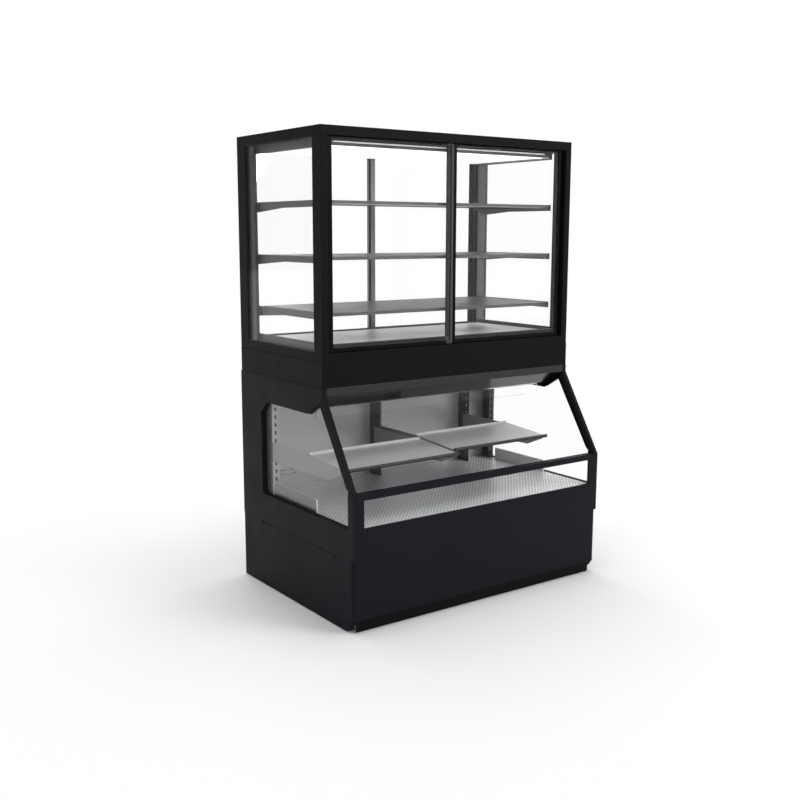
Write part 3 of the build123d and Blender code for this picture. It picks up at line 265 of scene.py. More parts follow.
def objectNoise(tree, scale, stretch=(1, 1, 1), detail=4.0):
    coords = tree.nodes.new("ShaderNodeTexCoord")
    mapping = tree.nodes.new("ShaderNodeMapping")
    mapping.inputs["Scale"].default_value = stretch
    noise = tree.nodes.new("ShaderNodeTexNoise")
    noise.inputs["Scale"].default_value = scale
    noise.inputs["Detail"].default_value = detail
    tree.links.new(coords.outputs["Object"], mapping.inputs["Vector"])
    tree.links.new(mapping.outputs["Vector"], noise.inputs["Vector"])
    return noise.outputs["Fac"]


def twoColours(tree, factor, first, second):
    ramp = tree.nodes.new("ShaderNodeValToRGB")
    ramp.color_ramp.elements[0].color = (*first, 1)
    ramp.color_ramp.elements[1].color = (*second, 1)
    tree.links.new(factor, ramp.inputs["Fac"])
    return ramp.outputs["Color"]


def bumpFrom(tree, shader, height, strength, distance):
    bump = tree.nodes.new("ShaderNodeBump")
    bump.inputs["Strength"].default_value = strength
    bump.inputs["Distance"].default_value = distance
    tree.links.new(height, bump.inputs["Height"])
    tree.links.new(bump.outputs["Normal"], shader.inputs["Normal"])


def orangePeel(tree, shader, strength, scale=peel["scale"]):
    bumpFrom(tree, shader, objectNoise(tree, scale, detail=peel["detail"]), strength, peel["depth"])


def brushed(tree, shader, dark, light, stretch, strength):
    grain = objectNoise(tree, brush["scale"], stretch, brush["detail"])
    put(tree, shader.inputs["Base Color"], twoColours(tree, grain, dark, light))
    bumpFrom(tree, shader, grain, strength, brush["depth"])
    return grain


def facesOut(tree, low=0.35, high=0.45):
    # 1 on faces that look away from the middle of the case, 0 elsewhere
    product = worked(tree, "MULTIPLY", axes(tree, "Normal")["X"], axes(tree, "Object")["X"])
    return remap(tree, product, 0, 1, low, high)


def facesUp(tree, low=0.5, high=0.9):
    # 1 on faces that look up, 0 on upright ones
    return remap(tree, axes(tree, "Normal")["Z"], 0, 1, low, high)


def panelFinish(name, top, edge, under, glow):
    # a flat panel: top, edges and underside each in their own tone, the underside lit
    material, tree, shader = newMaterial(name)
    down = remap(tree, axes(tree, "Normal")["Z"], 1, 0, -0.9, -0.5)
    colour = mixed(tree, down, mixed(tree, facesUp(tree), edge, top), under)
    put(tree, shader.inputs["Base Color"], colour)
    put(tree, shader.inputs["Roughness"], remap(tree, objectNoise(tree, spread["gloss"]), 0.38, 0.48))
    put(tree, shader.inputs["Specular IOR Level"], 0.15)
    if glow:
        put(tree, shader.inputs["Emission Color"], (0.96, 0.98, 1.0))
        put(tree, shader.inputs["Emission Strength"], remap(tree, down, 0, glow, 0, 1))
    orangePeel(tree, shader, 0.06)
    return material


def powderCoat(name, dark, light, roughness, sheen=0.25):
    # fine orange peel and slow patches of gloss
    material, tree, shader = newMaterial(name)
    slow = objectNoise(tree, spread["paint"], detail=2.0)
    put(tree, shader.inputs["Base Color"], twoColours(tree, slow, dark, light))
    gloss = objectNoise(tree, spread["gloss"])
    put(tree, shader.inputs["Roughness"], remap(tree, gloss, roughness - 0.05, roughness + 0.06))
    put(tree, shader.inputs["Specular IOR Level"], sheen)
    orangePeel(tree, shader, 0.12)
    return material


def brushedMetal(name, dark, light, roughness, stretch, bump=0.05):
    material, tree, shader = newMaterial(name)
    grain = brushed(tree, shader, dark, light, stretch, bump)
    put(tree, shader.inputs["Metallic"], 1)
    put(tree, shader.inputs["Roughness"], remap(tree, grain, roughness - 0.06, roughness + 0.08))
    return material


def softSteel(name, dark, light, roughness, stretch, metal):
    # brushed sheet under a clear lacquer: part mirror, part even grey
    material, tree, shader = newMaterial(name)
    grain = brushed(tree, shader, dark, light, stretch, 0.04)
    put(tree, shader.inputs["Metallic"], metal)
    put(tree, shader.inputs["Roughness"], remap(tree, grain, roughness - 0.05, roughness + 0.07))
    return material


def mouldedPlastic(name, dark, light, roughness, sheen=0.4, grainScale=700):
    material, tree, shader = newMaterial(name)
    slow = objectNoise(tree, spread["plastic"], detail=3.0)
    put(tree, shader.inputs["Base Color"], twoColours(tree, slow, dark, light))
    put(tree, shader.inputs["Roughness"], remap(tree, slow, roughness - 0.05, roughness + 0.08))
    put(tree, shader.inputs["Specular IOR Level"], sheen)
    orangePeel(tree, shader, 0.15, grainScale)
    return material


def clearPane(name, tint, haze=0.0):
    # glass that lets the lamps through to what stands behind it
    material, tree, shader = newMaterial(name)
    put(tree, shader.inputs["Transmission Weight"], 1)
    put(tree, shader.inputs["IOR"], glass["index"])
    put(tree, shader.inputs["Roughness"], haze)
    smear = objectNoise(tree, glass["smear"], detail=2.0)
    put(tree, shader.inputs["Base Color"], twoColours(tree, smear, tint, glass["clear"]))
    path = tree.nodes.new("ShaderNodeLightPath")
    through = tree.nodes.new("ShaderNodeBsdfTransparent")
    put(tree, through.inputs["Color"], glass["shade"])
    mix = tree.nodes.new("ShaderNodeMixShader")
    tree.links.new(path.outputs["Is Shadow Ray"], mix.inputs[0])
    tree.links.new(shader.outputs[0], mix.inputs[1])
    tree.links.new(through.outputs[0], mix.inputs[2])
    tree.links.new(mix.outputs[0], tree.nodes["Material Output"].inputs["Surface"])
    return material


def doorFrameBlack(name, splitY):
    # black glazed border in front, charcoal profile behind it, grey on the left door's meeting edge
    material, tree, shader = newMaterial(name)
    place = axes(tree, "Object")
    behind = remap(tree, place["Y"], 0, 1, splitY - doorTones["blend"], splitY + doorTones["blend"])
    frameTone = twoColours(tree, behind, doorTones["border"], doorTones["profile"])
    half = doorTones["meetingWidth"] / 2
    near = worked(tree, "COMPARE", place["X"], -half, half)
    put(tree, shader.inputs["Base Color"], mixed(tree, near, frameTone, doorTones["meeting"]))
    put(tree, shader.inputs["Roughness"], remap(tree, behind, 0.25, 0.45, 0, 1))
    put(tree, shader.inputs["Specular IOR Level"], 0.08)
    orangePeel(tree, shader, 0.06)
    return material


def perforatedSteel(name):
    # stainless sheet with staggered rows of fine slots in its top face, and outer faces in a darker grey that
    # is painted shade
    material, tree, shader = newMaterial(name)
    coords = tree.nodes.new("ShaderNodeTexCoord")
    brick = tree.nodes.new("ShaderNodeTexBrick")
    tree.links.new(coords.outputs["Object"], brick.inputs["Vector"])
    settings = {
        "Scale": 1.0, "Brick Width": deckSlots["pitchX"], "Row Height": deckSlots["pitchY"],
        "Mortar Size": deckSlots["gap"], "Mortar Smooth": deckSlots["softness"],
        "Color1": deckSlots["dark"], "Color2": deckSlots["dark"], "Mortar": deckSlots["steel"],
    }
    for key, value in settings.items():
        put(tree, brick.inputs[key], value)
    slotted = mixed(tree, facesUp(tree, 0.8, 0.9), deckSlots["steel"], brick.outputs["Color"])
    # outward-facing faces take the darker grey, painted shade
    put(tree, shader.inputs["Base Color"], mixed(tree, facesOut(tree), slotted, deckSlots["paintedShadeOutside"]))
    put(tree, shader.inputs["Metallic"], 0.2)
    grain = objectNoise(tree, brush["scale"], (1, 30, 1), 4.0)
    put(tree, shader.inputs["Roughness"], remap(tree, grain, 0.28, 0.40))
    bumpFrom(tree, shader, brick.outputs["Fac"], 0.25, 0.0006)
    return material


def upperDeckFinish(name):
    # white deck, with a dark grey skirt on its upright faces
    material, tree, shader = newMaterial(name)
    tone = twoColours(tree, facesUp(tree), (0.024, 0.025, 0.028), (0.80, 0.80, 0.80))
    put(tree, shader.inputs["Base Color"], tone)
    put(tree, shader.inputs["Roughness"], remap(tree, objectNoise(tree, spread["gloss"]), 0.3, 0.42))
    orangePeel(tree, shader, 0.08)
    return material


def slottedUpright(name):
    # bare aluminium on the inner side with a row of slots, black on the other faces
    material, tree, shader = newMaterial(name)
    # the product of normal and place is below zero on the inner side faces
    bare = facesOut(tree, -0.35, -0.45)
    place = axes(tree, "Object")
    level = worked(tree, "WRAP", place["Z"], uprightSlots["pitch"], 0.0)
    inStep = worked(tree, "LESS_THAN", level, uprightSlots["tall"])
    inRow = worked(tree, "COMPARE", place["Y"], uprightSlots["y"], uprightSlots["half"])
    slot = worked(tree, "MULTIPLY", inStep, inRow)
    metal = worked(tree, "SUBTRACT", bare, slot, clamp=True)
    grain = objectNoise(tree, brush["scale"], (30, 30, 1), brush["detail"])
    streaks = twoColours(tree, grain, *uprightSlots["streaks"])
    put(tree, shader.inputs["Base Color"], mixed(tree, metal, uprightSlots["black"], streaks))
    put(tree, shader.inputs["Metallic"], metal)
    put(tree, shader.inputs["Roughness"], remap(tree, grain, 0.3, 0.42))
    return material


def litDiffuser(name, strength, glow=(0.92, 0.96, 1.0), softAbove=10):
    # above the given height the diffuser shows only a soft glow
    material, tree, shader = newMaterial(name)
    patch = objectNoise(tree, spread["diffuser"], detail=2.0)
    put(tree, shader.inputs["Base Color"], twoColours(tree, patch, (0.9, 0.92, 0.95), (0.97, 0.98, 1.0)))
    put(tree, shader.inputs["Roughness"], remap(tree, patch, 0.4, 0.5))
    put(tree, shader.inputs["Emission Color"], glow)
    height = axes(tree, "Object")["Z"]
    low, high = softAbove - diffuser["blend"], softAbove + diffuser["blend"]
    level = remap(tree, height, strength, strength * diffuser["rest"], low, high)
    put(tree, shader.inputs["Emission Strength"], level)
    return material


def finishes():
    roofBlack = (0.0066, 0.0066, 0.0068)
    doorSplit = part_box("front_door_left")[0].y + doorTones["depth"]
    return {
        "satin_black": powderCoat(
            "satinBlack", (0.0058, 0.0058, 0.0060), (0.0074, 0.0074, 0.0076), 0.40, 0.045,
        ),
        "anthracite": powderCoat(
            "anthracite", (0.0095, 0.0100, 0.0128), (0.0122, 0.0127, 0.0156), 0.42, 0.045,
        ),
        "stainless": softSteel(
            "backSteel", (0.46, 0.465, 0.475), (0.54, 0.545, 0.555), 0.36, (1, 1, 30), 0.25,
        ),
        "shelf_grey": powderCoat("shelfGrey", (0.070, 0.072, 0.075), (0.092, 0.094, 0.098), 0.4, 0.25),
        "arm_grey": powderCoat("armGrey", (0.105, 0.105, 0.108), (0.135, 0.135, 0.138), 0.4, 0.25),
        "aluminium": brushedMetal(
            "anodisedAluminium", (0.40, 0.40, 0.41), (0.55, 0.55, 0.56), 0.32, (30, 30, 1),
        ),
        "clear_glass": clearPane("clearGlass", (0.996, 1.0, 0.998)),
        "edge_black": mouldedPlastic("blackPlastic", (0.010, 0.010, 0.011), (0.016, 0.016, 0.018), 0.4),
        "switch_red": mouldedPlastic("switchRed", (0.28, 0.012, 0.010), (0.34, 0.018, 0.014), 0.25, 0.5),
        "liner_white": mouldedPlastic("linerWhite", (0.70, 0.71, 0.71), (0.80, 0.80, 0.80), 0.5),
        "galvanised": brushedMetal(
            "galvanisedSteel", (0.34, 0.35, 0.36), (0.60, 0.61, 0.62), 0.42, (1, 1, 1), 0.1,
        ),
        "fin_aluminium": brushedMetal("coilFins", (0.45, 0.45, 0.45), (0.62, 0.62, 0.62), 0.4, (20, 1, 1)),
        "fan_plastic": mouldedPlastic("fanPlastic", (0.008, 0.008, 0.008), (0.014, 0.014, 0.014), 0.45),
        "compressor_black": powderCoat(
            "compressorEnamel", (0.008, 0.008, 0.008), (0.012, 0.012, 0.012), 0.28, 0.5,
        ),
        "pin_steel": brushedMetal("platedSteel", (0.45, 0.45, 0.44), (0.62, 0.62, 0.60), 0.25, (1, 1, 1)),
        "foot_rubber": mouldedPlastic("footRubber", (0.012, 0.012, 0.012), (0.02, 0.02, 0.02), 0.7, 0.3, 300),
        "light_diffuser": litDiffuser("lightDiffuser", 0.9, softAbove=1.709),
        "doorFrame": doorFrameBlack("doorFrame", doorSplit),
        "lowerDeck": perforatedSteel("lowerDeckSteel"),
        "upperDeck": upperDeckFinish("deckWhite"),
        "slottedUpright": slottedUpright("slottedUpright"),
        "panelGrey": panelFinish(
            "panelGrey", (0.25, 0.25, 0.255), (0.085, 0.087, 0.090), (0.85, 0.86, 0.87), 0.7,
        ),
        "roofLiner": panelFinish("roofLiner", roofBlack, roofBlack, (0.50, 0.505, 0.51), 0),
        "bracketGrey": powderCoat("bracketGrey", (0.27, 0.275, 0.285), (0.32, 0.325, 0.335), 0.4, 0.25),
        "darkScrew": powderCoat("darkScrew", (0.006, 0.006, 0.006), (0.009, 0.009, 0.009), 0.45, 0.06),
        # darker copy of the strip finish for the right-hand strip: painted shade
        "stripPaintedShade": powderCoat("stripPaintedShade", (0.060, 0.061, 0.064), (0.080, 0.081, 0.085), 0.4, 0.2),
        "stripGrey": softSteel("stripGrey", (0.42, 0.41, 0.38), (0.52, 0.51, 0.48), 0.4, (30, 30, 1), 0.2),
        "sheetSteel": softSteel(
            "shelfSheetSteel", (0.56, 0.565, 0.575), (0.66, 0.665, 0.675), 0.32, (1, 30, 1), 0.25,
        ),
        "rearDoorGrey": brushedMetal(
            "rearDoorProfile", (0.17, 0.17, 0.175), (0.25, 0.25, 0.255), 0.38, (30, 30, 1),
        ),
        "soffitBlack": powderCoat("soffitBlack", (0.010, 0.0105, 0.012), (0.013, 0.0135, 0.016), 0.16, 0.35),
        # near-black sheet behind the strips' slots: painted shade inside the channel
        "channelPaintedShade": powderCoat("channelPaintedShade", (0.014, 0.014, 0.015), (0.020, 0.020, 0.021), 0.5, 0.1),
        "displayGlass": mouldedPlastic(
            "displayGlass", (0.004, 0.004, 0.005), (0.007, 0.007, 0.008), 0.08, 0.5, 200,
        ),
        "digitGlow": litDiffuser("digitGlow", 1.6, (1.0, 0.16, 0.08)),
        "markWhite": mouldedPlastic("markWhite", (0.62, 0.62, 0.62), (0.74, 0.74, 0.74), 0.4),
        "keyGrey": mouldedPlastic("keyGrey", (0.10, 0.10, 0.105), (0.14, 0.14, 0.145), 0.45),
        "sealRubber": mouldedPlastic(
            "sealRubber", (0.006, 0.006, 0.006), (0.011, 0.011, 0.011), 0.55, 0.2, 500,
        ),
        "clearStrip": clearPane("clearStrip", (0.93, 0.95, 0.95), 0.15),
    }


# Nodes with a finish of their own in place of their slot's
ownFinish = {
    "front_door_left": "doorFrame",
    "front_door_right": "doorFrame",
    "lower_deck": "lowerDeck",
    "upper_deck": "upperDeck",
    "upper_uprights": "slottedUpright",
    "light_panel": "panelGrey",
    "top_panel": "roofLiner",
    "shelf_brackets": "bracketGrey",
    "cover_screws": "darkScrew",
    "door_pivots": "darkScrew",
    "lower_shelves": "sheetSteel",
    "rear_door_left": "rearDoorGrey",
    "rear_door_right": "rearDoorGrey",
    "mid_board": "soffitBlack",
    "canopy": "soffitBlack",
}
# Soft edges, in metres and degrees; the nodes below get them
edges = {"width": 0.0008, "segments": 2, "angle": 30, "weld": 0.00001, "smooth": 32, "small": 0.0003}
softened = [
    "side_panels", "side_covers", "front_panel", "front_rail", "slanted_posts", "apron", "bottom_frame",
    "corner_posts", "top_frame", "front_door_left", "front_door_right", "lower_rear_posts", "mid_board",
    "rear_door_left", "rear_door_right", "shelf_arms", "shelf_brackets", "kick_plate", "upper_uprights",
]


def dressNodes():
    paint = finishes()
    slots = {part["node"]: part["material_slot"] for part in frame["record"]["subparts"]}
    for name, node in nodes.items():
        node.data.materials.clear()
        node.data.materials.append(paint[ownFinish.get(name, slots[name])])
    for name in softened:
        weld = nodes[name].modifiers.new("weld", "WELD")
        weld.merge_threshold = edges["weld"]
        bevel = nodes[name].modifiers.new("softEdges", "BEVEL")
        bevel.width = edges["width"]
        bevel.segments = edges["segments"]
        bevel.limit_method = "ANGLE"
        bevel.angle_limit = math.radians(edges["angle"])
        bevel.harden_normals = True
    return paint


paint = dressNodes()
print("nodes dressed")


# Mesh building blocks for the added pieces
def boxInto(bm, low, high, soft=edges["small"]):
    verts = bmesh.ops.create_cube(bm, size=1)["verts"]
    size = Vector(high) - Vector(low)
    bmesh.ops.scale(bm, vec=size, verts=verts)
    bmesh.ops.translate(bm, vec=(Vector(low) + Vector(high)) / 2, verts=verts)
    if soft:
        sharp = list({edge for vert in verts for edge in vert.link_edges})
        bmesh.ops.bevel(bm, geom=sharp, offset=soft, affect="EDGES", segments=2, profile=0.5, material=-1)


def beadInto(bm, outline, place, section):
    # a closed strip along a counter-clockwise flat outline; section holds (inward, out) pairs
    rings = []
    for index, here in enumerate(outline):
        here = Vector(here)
        first = (here - Vector(outline[index - 1])).normalized()
        second = (Vector(outline[(index + 1) % len(outline)]) - here).normalized()
        inFirst = Vector((-first.y, first.x))
        inSecond = Vector((-second.y, second.x))
        mitre = (inFirst + inSecond) / (1 + inFirst.dot(inSecond))
        rings.append([bm.verts.new(place(*(here + mitre * inward), out)) for inward, out in section])
    for index, ring in enumerate(rings):
        following = rings[(index + 1) % len(rings)]
        for step in range(len(section)):
            after = (step + 1) % len(section)
            bm.faces.new((ring[step], following[step], following[after], ring[after]))


def turnedInto(bm, rings, base, axis, steps=24):
    # a closed turned form; rings hold (radius, height, sides), where 6 sides give a hexagon
    axis = Vector(axis).normalized()
    across = axis.orthogonal().normalized()
    over = axis.cross(across)
    made = []
    for radius, height, sides in rings:
        centre = Vector(base) + axis * height
        if radius == 0:
            made.append([bm.verts.new(centre)])
            continue
        ring = []
        for step in range(steps):
            angle = 2 * math.pi * step / steps
            reach = radius
            if sides:
                half = math.pi / sides
                reach = radius * math.cos(half) / math.cos(angle % (2 * half) - half)
            ring.append(bm.verts.new(centre + (across * math.cos(angle) + over * math.sin(angle)) * reach))
        made.append(ring)
    for lower, upper in zip(made, made[1:]):
        for step in range(steps):
            after = (step + 1) % steps
            if len(lower) == 1:
                bm.faces.new((lower[0], upper[after], upper[step]))
            elif len(upper) == 1:
                bm.faces.new((lower[step], lower[after], upper[0]))
            else:
                bm.faces.new((lower[step], lower[after], upper[after], upper[step]))


# Button head with a hexagon socket: (radius, height, sides), in shares of the head's radius
screwHead = [
    (0, 0, 0), (1, 0, 0), (1, 0.12, 0), (0.92, 0.32, 0), (0.72, 0.5, 0), (0.5, 0.56, 0),
    (0.44, 0.53, 6), (0.42, 0.2, 6), (0, 0.16, 0),
]


def screwInto(bm, base, axis, radius):
    rings = [(radius * wide, radius * high, sides) for wide, high, sides in screwHead]
    turnedInto(bm, rings, base, axis)


def addPiece(bm, name, finish, body="cabinet"):
    bmesh.ops.recalc_face_normals(bm, faces=bm.faces)
    for face in bm.faces:
        face.smooth = True
    mesh = bpy.data.meshes.new(name)
    bm.to_mesh(mesh)
    bm.free()
    mesh.set_sharp_from_angle(angle=math.radians(edges["smooth"]))
    mesh.materials.append(paint[finish])
    piece = bpy.data.objects.new(name, mesh)
    bpy.context.scene.collection.objects.link(piece)
    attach(piece, body)
    return piece


def rectangle(low, high):
    return [(low[0], low[1]), (high[0], low[1]), (high[0], high[1]), (low[0], high[1])]


# Rubber strips round the side windows of the lower case, on the outer face of each pane
lowerSeal = {
    # (y, z) corners of the window, counter-clockwise seen from the right
    "outline": [
        (-0.377, 0.378), (0.234, 0.378), (0.244, 0.388), (0.244, 0.7045), (0.200, 0.7485),
        (-0.110, 0.7485), (-0.191, 0.797), (-0.365, 0.526), (-0.377, 0.517),
    ],
    "face": 0.580,
    "section": [(0, 0), (0.0035, 0), (0.0030, 0.0012), (0.0018, 0.0020), (0, 0.0022)],
}
bm = bmesh.new()
for side in (-1, 1):
    beadInto(
        bm, lowerSeal["outline"],
        lambda y, z, out, side=side: (side * (lowerSeal["face"] + out), y, z), lowerSeal["section"],
    )
addPiece(bm, "lowerWindowSeals", "sealRubber")

# Strip round the low front glass
lowGlassSeal = {
    "low": (-0.553, 0.381),
    "high": (0.553, 0.484),
    "face": -0.405,
    "section": [(0, 0), (0.0025, 0), (0.0021, 0.0010), (0.0010, 0.0016), (0, 0.0017)],
}
bm = bmesh.new()
beadInto(
    bm, rectangle(lowGlassSeal["low"], lowGlassSeal["high"]),
    lambda x, z, out: (x, lowGlassSeal["face"] - out, z), lowGlassSeal["section"],
)
addPiece(bm, "lowGlassSeal", "sealRubber")

# Strips round the side panes of the cabinet
sidePaneSeal = {
    "low": (-0.156, 0.974),
    "high": (0.343, 1.724),
    "face": 0.592,
    "section": [(0, 0), (0.0040, 0), (0.0034, 0.0014), (0.0020, 0.0022), (0, 0.0024)],
}
bm = bmesh.new()
for side in (-1, 1):
    beadInto(
        bm, rectangle(sidePaneSeal["low"], sidePaneSeal["high"]),
        lambda y, z, out, side=side: (side * (sidePaneSeal["face"] + out), y, z), sidePaneSeal["section"],
    )
addPiece(bm, "sidePaneSeals", "sealRubber")

# Strips round the rear panes, on both faces
rearPaneSeal = {"section": [(0, 0), (0.0025, 0), (0.0020, 0.00112), (0, 0.0014)]}
for name in ("left", "right"):
    low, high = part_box("rear_glass_" + name)
    bm = bmesh.new()
    for face, side in ((low.y, -1), (high.y, 1)):
        beadInto(
            bm, rectangle((low.x, low.z), (high.x, high.z)),
            lambda x, z, out, face=face, side=side: (x, face + side * out, z), rearPaneSeal["section"],
        )
    addPiece(bm, "rearPaneSeals_" + name, "sealRubber", "rear_door_" + name + "_body")

# Bulb seals on the outer edges of the front doors, and the clear strip between the two
doorSeal = {
    "fromFront": 0.016,
    "length": 0.010,
    "short": 0.002,
    "bulb": 0.0022,
    "bulbSoft": 0.00088,
    "clear": 0.0012,
    "clearSoft": 0.00036,
}
for name, side in (("left", -1), ("right", 1)):
    low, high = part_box("front_door_" + name)
    outer, inner = (low.x, high.x) if side < 0 else (high.x, low.x)
    front = low.y + doorSeal["fromFront"]
    strips = (
        ("doorSeal_", outer, side * doorSeal["bulb"], doorSeal["bulbSoft"], "sealRubber", "edge_black"),
        (
            "meetingSeal_", inner, -side * doorSeal["clear"], doorSeal["clearSoft"],
            "clearStrip", "clear_glass",
        ),
    )
    for title, start, reach, soft, finish, slot in strips:
        near, far = sorted((start, start + reach))
        bm = bmesh.new()
        boxInto(
            bm, (near, front, low.z + doorSeal["short"]),
            (far, front + doorSeal["length"], high.z - doorSeal["short"]), soft,
        )
        addPiece(bm, title + name, finish, "front_door_" + name + "_body")
print("seals fitted")

# Button-head screws at both ends of each shelf arm
armScrews = {
    "face": 0.553,
    "thick": 0.003,
    "tops": (1.511, 1.313, 1.113),
    # (y, drop below the arm's top)
    "rear": ((0.314, 0.008), (0.314, 0.030)),
    "front": ((-0.130, 0.007), (-0.118, 0.018)),
    "radius": 0.004,
    "topLevel": 1.7125,
    "topPlaces": (0.310, -0.125),
}
bm = bmesh.new()
for side in (-1, 1):
    inner = side * armScrews["face"]
    outer = side * (armScrews["face"] + armScrews["thick"])
    for top in armScrews["tops"]:
        for y, drop in armScrews["rear"] + armScrews["front"]:
            screwInto(bm, (inner, y, top - drop), (-side, 0, 0), armScrews["radius"])
        for y, drop in armScrews["front"]:
            screwInto(bm, (outer, y, top - drop), (side, 0, 0), armScrews["radius"])
    for y in armScrews["topPlaces"]:
        screwInto(bm, (inner, y, armScrews["topLevel"]), (-side, 0, 0), armScrews["radius"])
addPiece(bm, "armScrews", "pin_steel")

# Slotted strips at the rear corners of the lower case, the right one a darker copy of the left as painted
# shade, with a near-black sheet behind the slots as painted shade inside the channel
strip = {
    "x": (0.541, 0.5685),
    "y": (0.2075, 0.2095),
    "z": (0.382, 0.750),
    "slot": (0.550, 0.559),
    "pitch": 0.031,
    "tall": 0.015,
    "channelLap": 0.003,
    "channelY": (0.2097, 0.2107),
}
channels = bmesh.new()
# the right strip takes the darker copy of the finish, painted shade
for name, side, finish in (("left", -1, "stripGrey"), ("right", 1, "stripPaintedShade")):
    bm = bmesh.new()
    for near, far in ((strip["x"][0], strip["slot"][0]), (strip["slot"][1], strip["x"][1])):
        low, high = sorted((side * near, side * far))
        boxInto(bm, (low, strip["y"][0], strip["z"][0]), (high, strip["y"][1], strip["z"][1]), 0)
    low, high = sorted((side * strip["slot"][0], side * strip["slot"][1]))
    level = strip["z"][0]
    while level < strip["z"][1]:
        top = min(level + strip["pitch"] - strip["tall"], strip["z"][1])
        boxInto(bm, (low, strip["y"][0], level), (high, strip["y"][1], top), 0)
        level += strip["pitch"]
    lap = strip["channelLap"]
    nearY, farY = strip["channelY"]
    # a near-black sheet behind the slots, painted shade inside the channel
    boxInto(channels, (low - lap, nearY, strip["z"][0]), (high + lap, farY, strip["z"][1]), 0)
    addPiece(bm, "uprightStrip_" + name, finish)
addPiece(channels, "uprightChannels", "channelPaintedShade")

# Caps on the ends of the tilted shelves' front bars
barCap = {
    "radius": 0.0068,
    "depth": 0.003,
    "sunk": 0.001,
    "centre": (-0.3165, 0.570),
    # (x, outward, how far back, lift)
    "ends": ((-0.566, -1, 0, 0), (-0.060, 1, 0, 0), (-0.052, -1, 0.034, 0.008), (0.427, 1, 0.034, 0.008)),
    # (share of the radius, share of the depth)
    "crown": ((1, 0.4), (0.8, 0.85), (0.4, 1), (0, 1)),
}
bm = bmesh.new()
rings = [(0, -barCap["sunk"], 0), (barCap["radius"], -barCap["sunk"], 0)]
rings += [(barCap["radius"] * wide, barCap["depth"] * high, 0) for wide, high in barCap["crown"]]
for x, outward, back, lift in barCap["ends"]:
    turnedInto(bm, rings, (x, barCap["centre"][0] + back, barCap["centre"][1] + lift), (outward, 0, 0))
addPiece(bm, "shelfBarCaps", "edge_black")
print("screws, channels and caps fitted")

# Rear: pressed hoods over the louvres
hood = {
    "length": 0.216,
    "height": 0.013,
    "proud": 0.0033,
    "columns": 14,
    "rows": 6,
    "rise": 0.0065,
    "endShare": 0.35,    # height of the hood's ends, as a share of its height
    "endPower": 8,
    "gap": 0.0002,
    "sheet": 0.0006,
    "centre": (-0.190, 0.175),
    "shifts": (-0.12, 0.12),
    "count": 10,
    "pitch": 0.016,
}
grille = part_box("rear_grille")
hoodFace = grille[1].y + hood["gap"]
bm = bmesh.new()
for shift in hood["shifts"]:
    for row in range(hood["count"]):
        centreX = hood["centre"][0] + shift
        centreZ = hood["centre"][1] + hood["pitch"] * (row - (hood["count"] - 1) / 2)
        columns = []
        for stepX in range(hood["columns"] + 1):
            alongX = stepX / hood["columns"] * 2 - 1
            ends = (1 - abs(alongX) ** hood["endPower"]) ** 0.5
            reach = hood["height"] * (hood["endShare"] + (1 - hood["endShare"]) * ends)
            x = centreX + alongX * hood["length"] / 2
            column = []
            for stepZ in range(hood["rows"] + 1):
                downZ = stepZ / hood["rows"]
                out = hood["proud"] * ends * math.sin(downZ * math.pi / 2)
                column.append(bm.verts.new((x, hoodFace + out, centreZ + hood["rise"] - downZ * reach)))
            columns.append(column)
        for left, right in zip(columns, columns[1:]):
            for stepZ in range(hood["rows"]):
                bm.faces.new((left[stepZ], right[stepZ], right[stepZ + 1], left[stepZ + 1]))
hoods = addPiece(bm, "louvreHoods", "anthracite")
skinHood = hoods.modifiers.new("sheet", "SOLIDIFY")
skinHood.thickness = hood["sheet"]
skinHood.offset = -1

# Screws of the rear panel, the grille and the control plate
rearScrews = {
    "inset": 0.012,
    "radius": 0.0035,
    "plateFace": 0.4065,
    "plateInset": 0.006,
    "plateRadius": 0.0024,
    "sideShares": (0.04, 0.27, 0.5, 0.73, 0.96),
    "grilleShares": (0.08, 0.92),
    "rowShares": (0.25, 0.5, 0.75),
}
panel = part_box("rear_panel")
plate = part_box("control_panel")


def along(box, axis, share):
    return box[0][axis] + share * (box[1][axis] - box[0][axis])


bm = bmesh.new()
for side in (-1, 1):
    x = side * (panel[1].x - rearScrews["inset"])
    for box, shares in ((panel, rearScrews["sideShares"]), (grille, rearScrews["grilleShares"])):
        for share in shares:
            screwInto(bm, (x, box[1].y, along(box, 2, share)), (0, 1, 0), rearScrews["radius"])
for share in rearScrews["rowShares"]:
    for z in (panel[0].z + rearScrews["inset"], panel[1].z - rearScrews["inset"]):
        screwInto(bm, (along(panel, 0, share), panel[1].y, z), (0, 1, 0), rearScrews["radius"])
for x in (plate[0].x + rearScrews["plateInset"], plate[1].x - rearScrews["plateInset"]):
    for z in (plate[0].z + rearScrews["plateInset"], plate[1].z - rearScrews["plateInset"]):
        screwInto(bm, (x, rearScrews["plateFace"], z), (0, 1, 0), rearScrews["plateRadius"])
addPiece(bm, "rearScrews", "darkScrew")

# Screws and edge bead of the roof panel
roof = {
    "shares": (0.03, 0.35, 0.65, 0.97),
    "inset": 0.012,
    "radius": 0.003,
    "bead": [(0, 0), (0.0050, 0), (0.0040, 0.0010), (0.0020, 0.0014), (0, 0.0015)],
}
low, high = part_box("top_panel")
bm = bmesh.new()
for share in roof["shares"]:
    for y in (low.y + roof["inset"], high.y - roof["inset"]):
        screwInto(bm, (along((low, high), 0, share), y, high.z), (0, 0, 1), roof["radius"])
addPiece(bm, "roofScrews", "darkScrew")
bm = bmesh.new()
roofTop = high.z
beadInto(
    bm, rectangle((low.x, low.y), (high.x, high.y)), lambda x, y, out: (x, y, roofTop + out), roof["bead"],
)
addPiece(bm, "roofSeal", "sealRubber")
print("rear and roof fitted")

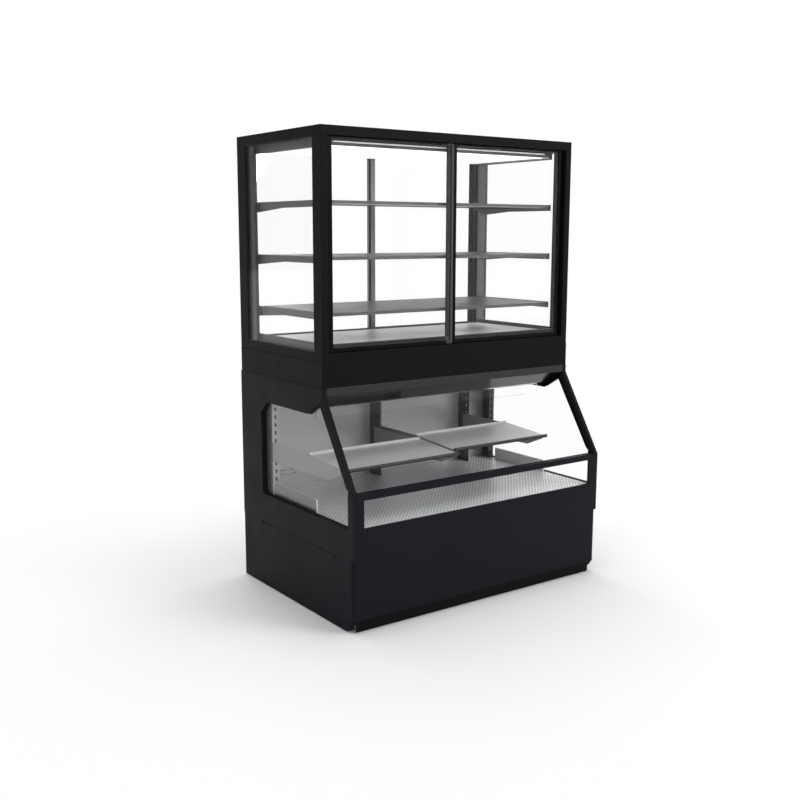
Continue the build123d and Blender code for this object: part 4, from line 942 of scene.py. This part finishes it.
# Controller: dark window, one red figure and three keys
controller = {
    "x": 0.424,
    "window": (0.045, 0.021),
    "windowY": (0.4058, 0.4068),
    "figure": (0.0085, 0.0150),
    "figureY": (0.4068, 0.4072),
    "stroke": 0.0016,
    "soft": 0.0001,
    "keysX": 0.457,
    "keysY": 0.4070,
    "keyDrops": (-0.009, 0, 0.009),
    "keyRings": [
        (0, -0.0002, 0), (0.0030, -0.0002, 0), (0.0030, 0.0005, 0), (0.0024, 0.0009, 0), (0, 0.0007, 0),
    ],
    # bars of a figure 3, as (x, z) spans in shares of its width and height, seen from the rear
    "bars": (
        ((0, 1), (1, 1)), ((0, 1), (0.5, 0.5)), ((0, 1), (0, 0)), ((0, 0), (0, 0.5)), ((0, 0), (0.5, 1)),
    ),
}
plateZ = (plate[0].z + plate[1].z) / 2
halfX, halfZ = controller["window"][0] / 2, controller["window"][1] / 2
bm = bmesh.new()
boxInto(
    bm, (controller["x"] - halfX, controller["windowY"][0], plateZ - halfZ),
    (controller["x"] + halfX, controller["windowY"][1], plateZ + halfZ),
)
addPiece(bm, "displayWindow", "displayGlass")
bm = bmesh.new()
wide, tall = controller["figure"]
grow = controller["stroke"] / 2
nearY, farY = controller["figureY"]
for spanX, spanZ in controller["bars"]:
    x0, x1 = (controller["x"] + (share - 0.5) * wide for share in spanX)
    z0, z1 = (plateZ + (share - 0.5) * tall for share in spanZ)
    boxInto(bm, (x0 - grow, nearY, z0 - grow), (x1 + grow, farY, z1 + grow), controller["soft"])
addPiece(bm, "displayFigure", "digitGlow")
bm = bmesh.new()
for drop in controller["keyDrops"]:
    base = (controller["keysX"], controller["keysY"], plateZ + drop)
    turnedInto(bm, controller["keyRings"], base, (0, 1, 0))
addPiece(bm, "controllerKeys", "keyGrey")

# On and off marks of the two switches, a bar above and a ring below
marks = {
    "tilt": 7.0,
    "face": 0.0041,
    "sunk": 0.0003,
    "pivotY": 0.402,
    "offset": 0.0048,
    "ring": (0.0021, 0.0014),
    "bar": (0.0005, 0.0022),
    "soft": 0.0001,
    "switches": (("power_switch", 0.315), ("light_switch", 0.349)),
}
for name, x in marks["switches"]:
    bm = bmesh.new()
    halfX, halfZ = marks["bar"]
    back = marks["face"] - marks["sunk"]
    boxInto(
        bm, (-halfX, back, marks["offset"] - halfZ),
        (halfX, marks["face"], marks["offset"] + halfZ), marks["soft"],
    )
    outer, inner = marks["ring"]
    rings = [(inner, -marks["sunk"], 0), (outer, -marks["sunk"], 0), (outer, 0, 0), (inner, 0, 0)]
    turnedInto(bm, rings + [rings[0]], (0, marks["face"], -marks["offset"]), (0, 1, 0))
    bmesh.ops.remove_doubles(bm, verts=bm.verts, dist=edges["weld"])
    place = Matrix.Translation((x, marks["pivotY"], plateZ))
    turn = Matrix.Rotation(math.radians(-marks["tilt"]), 4, "X")
    bmesh.ops.transform(bm, matrix=place @ turn, verts=bm.verts)
    addPiece(bm, name + "Marks", "markWhite", name + "_body")
print("controls marked")
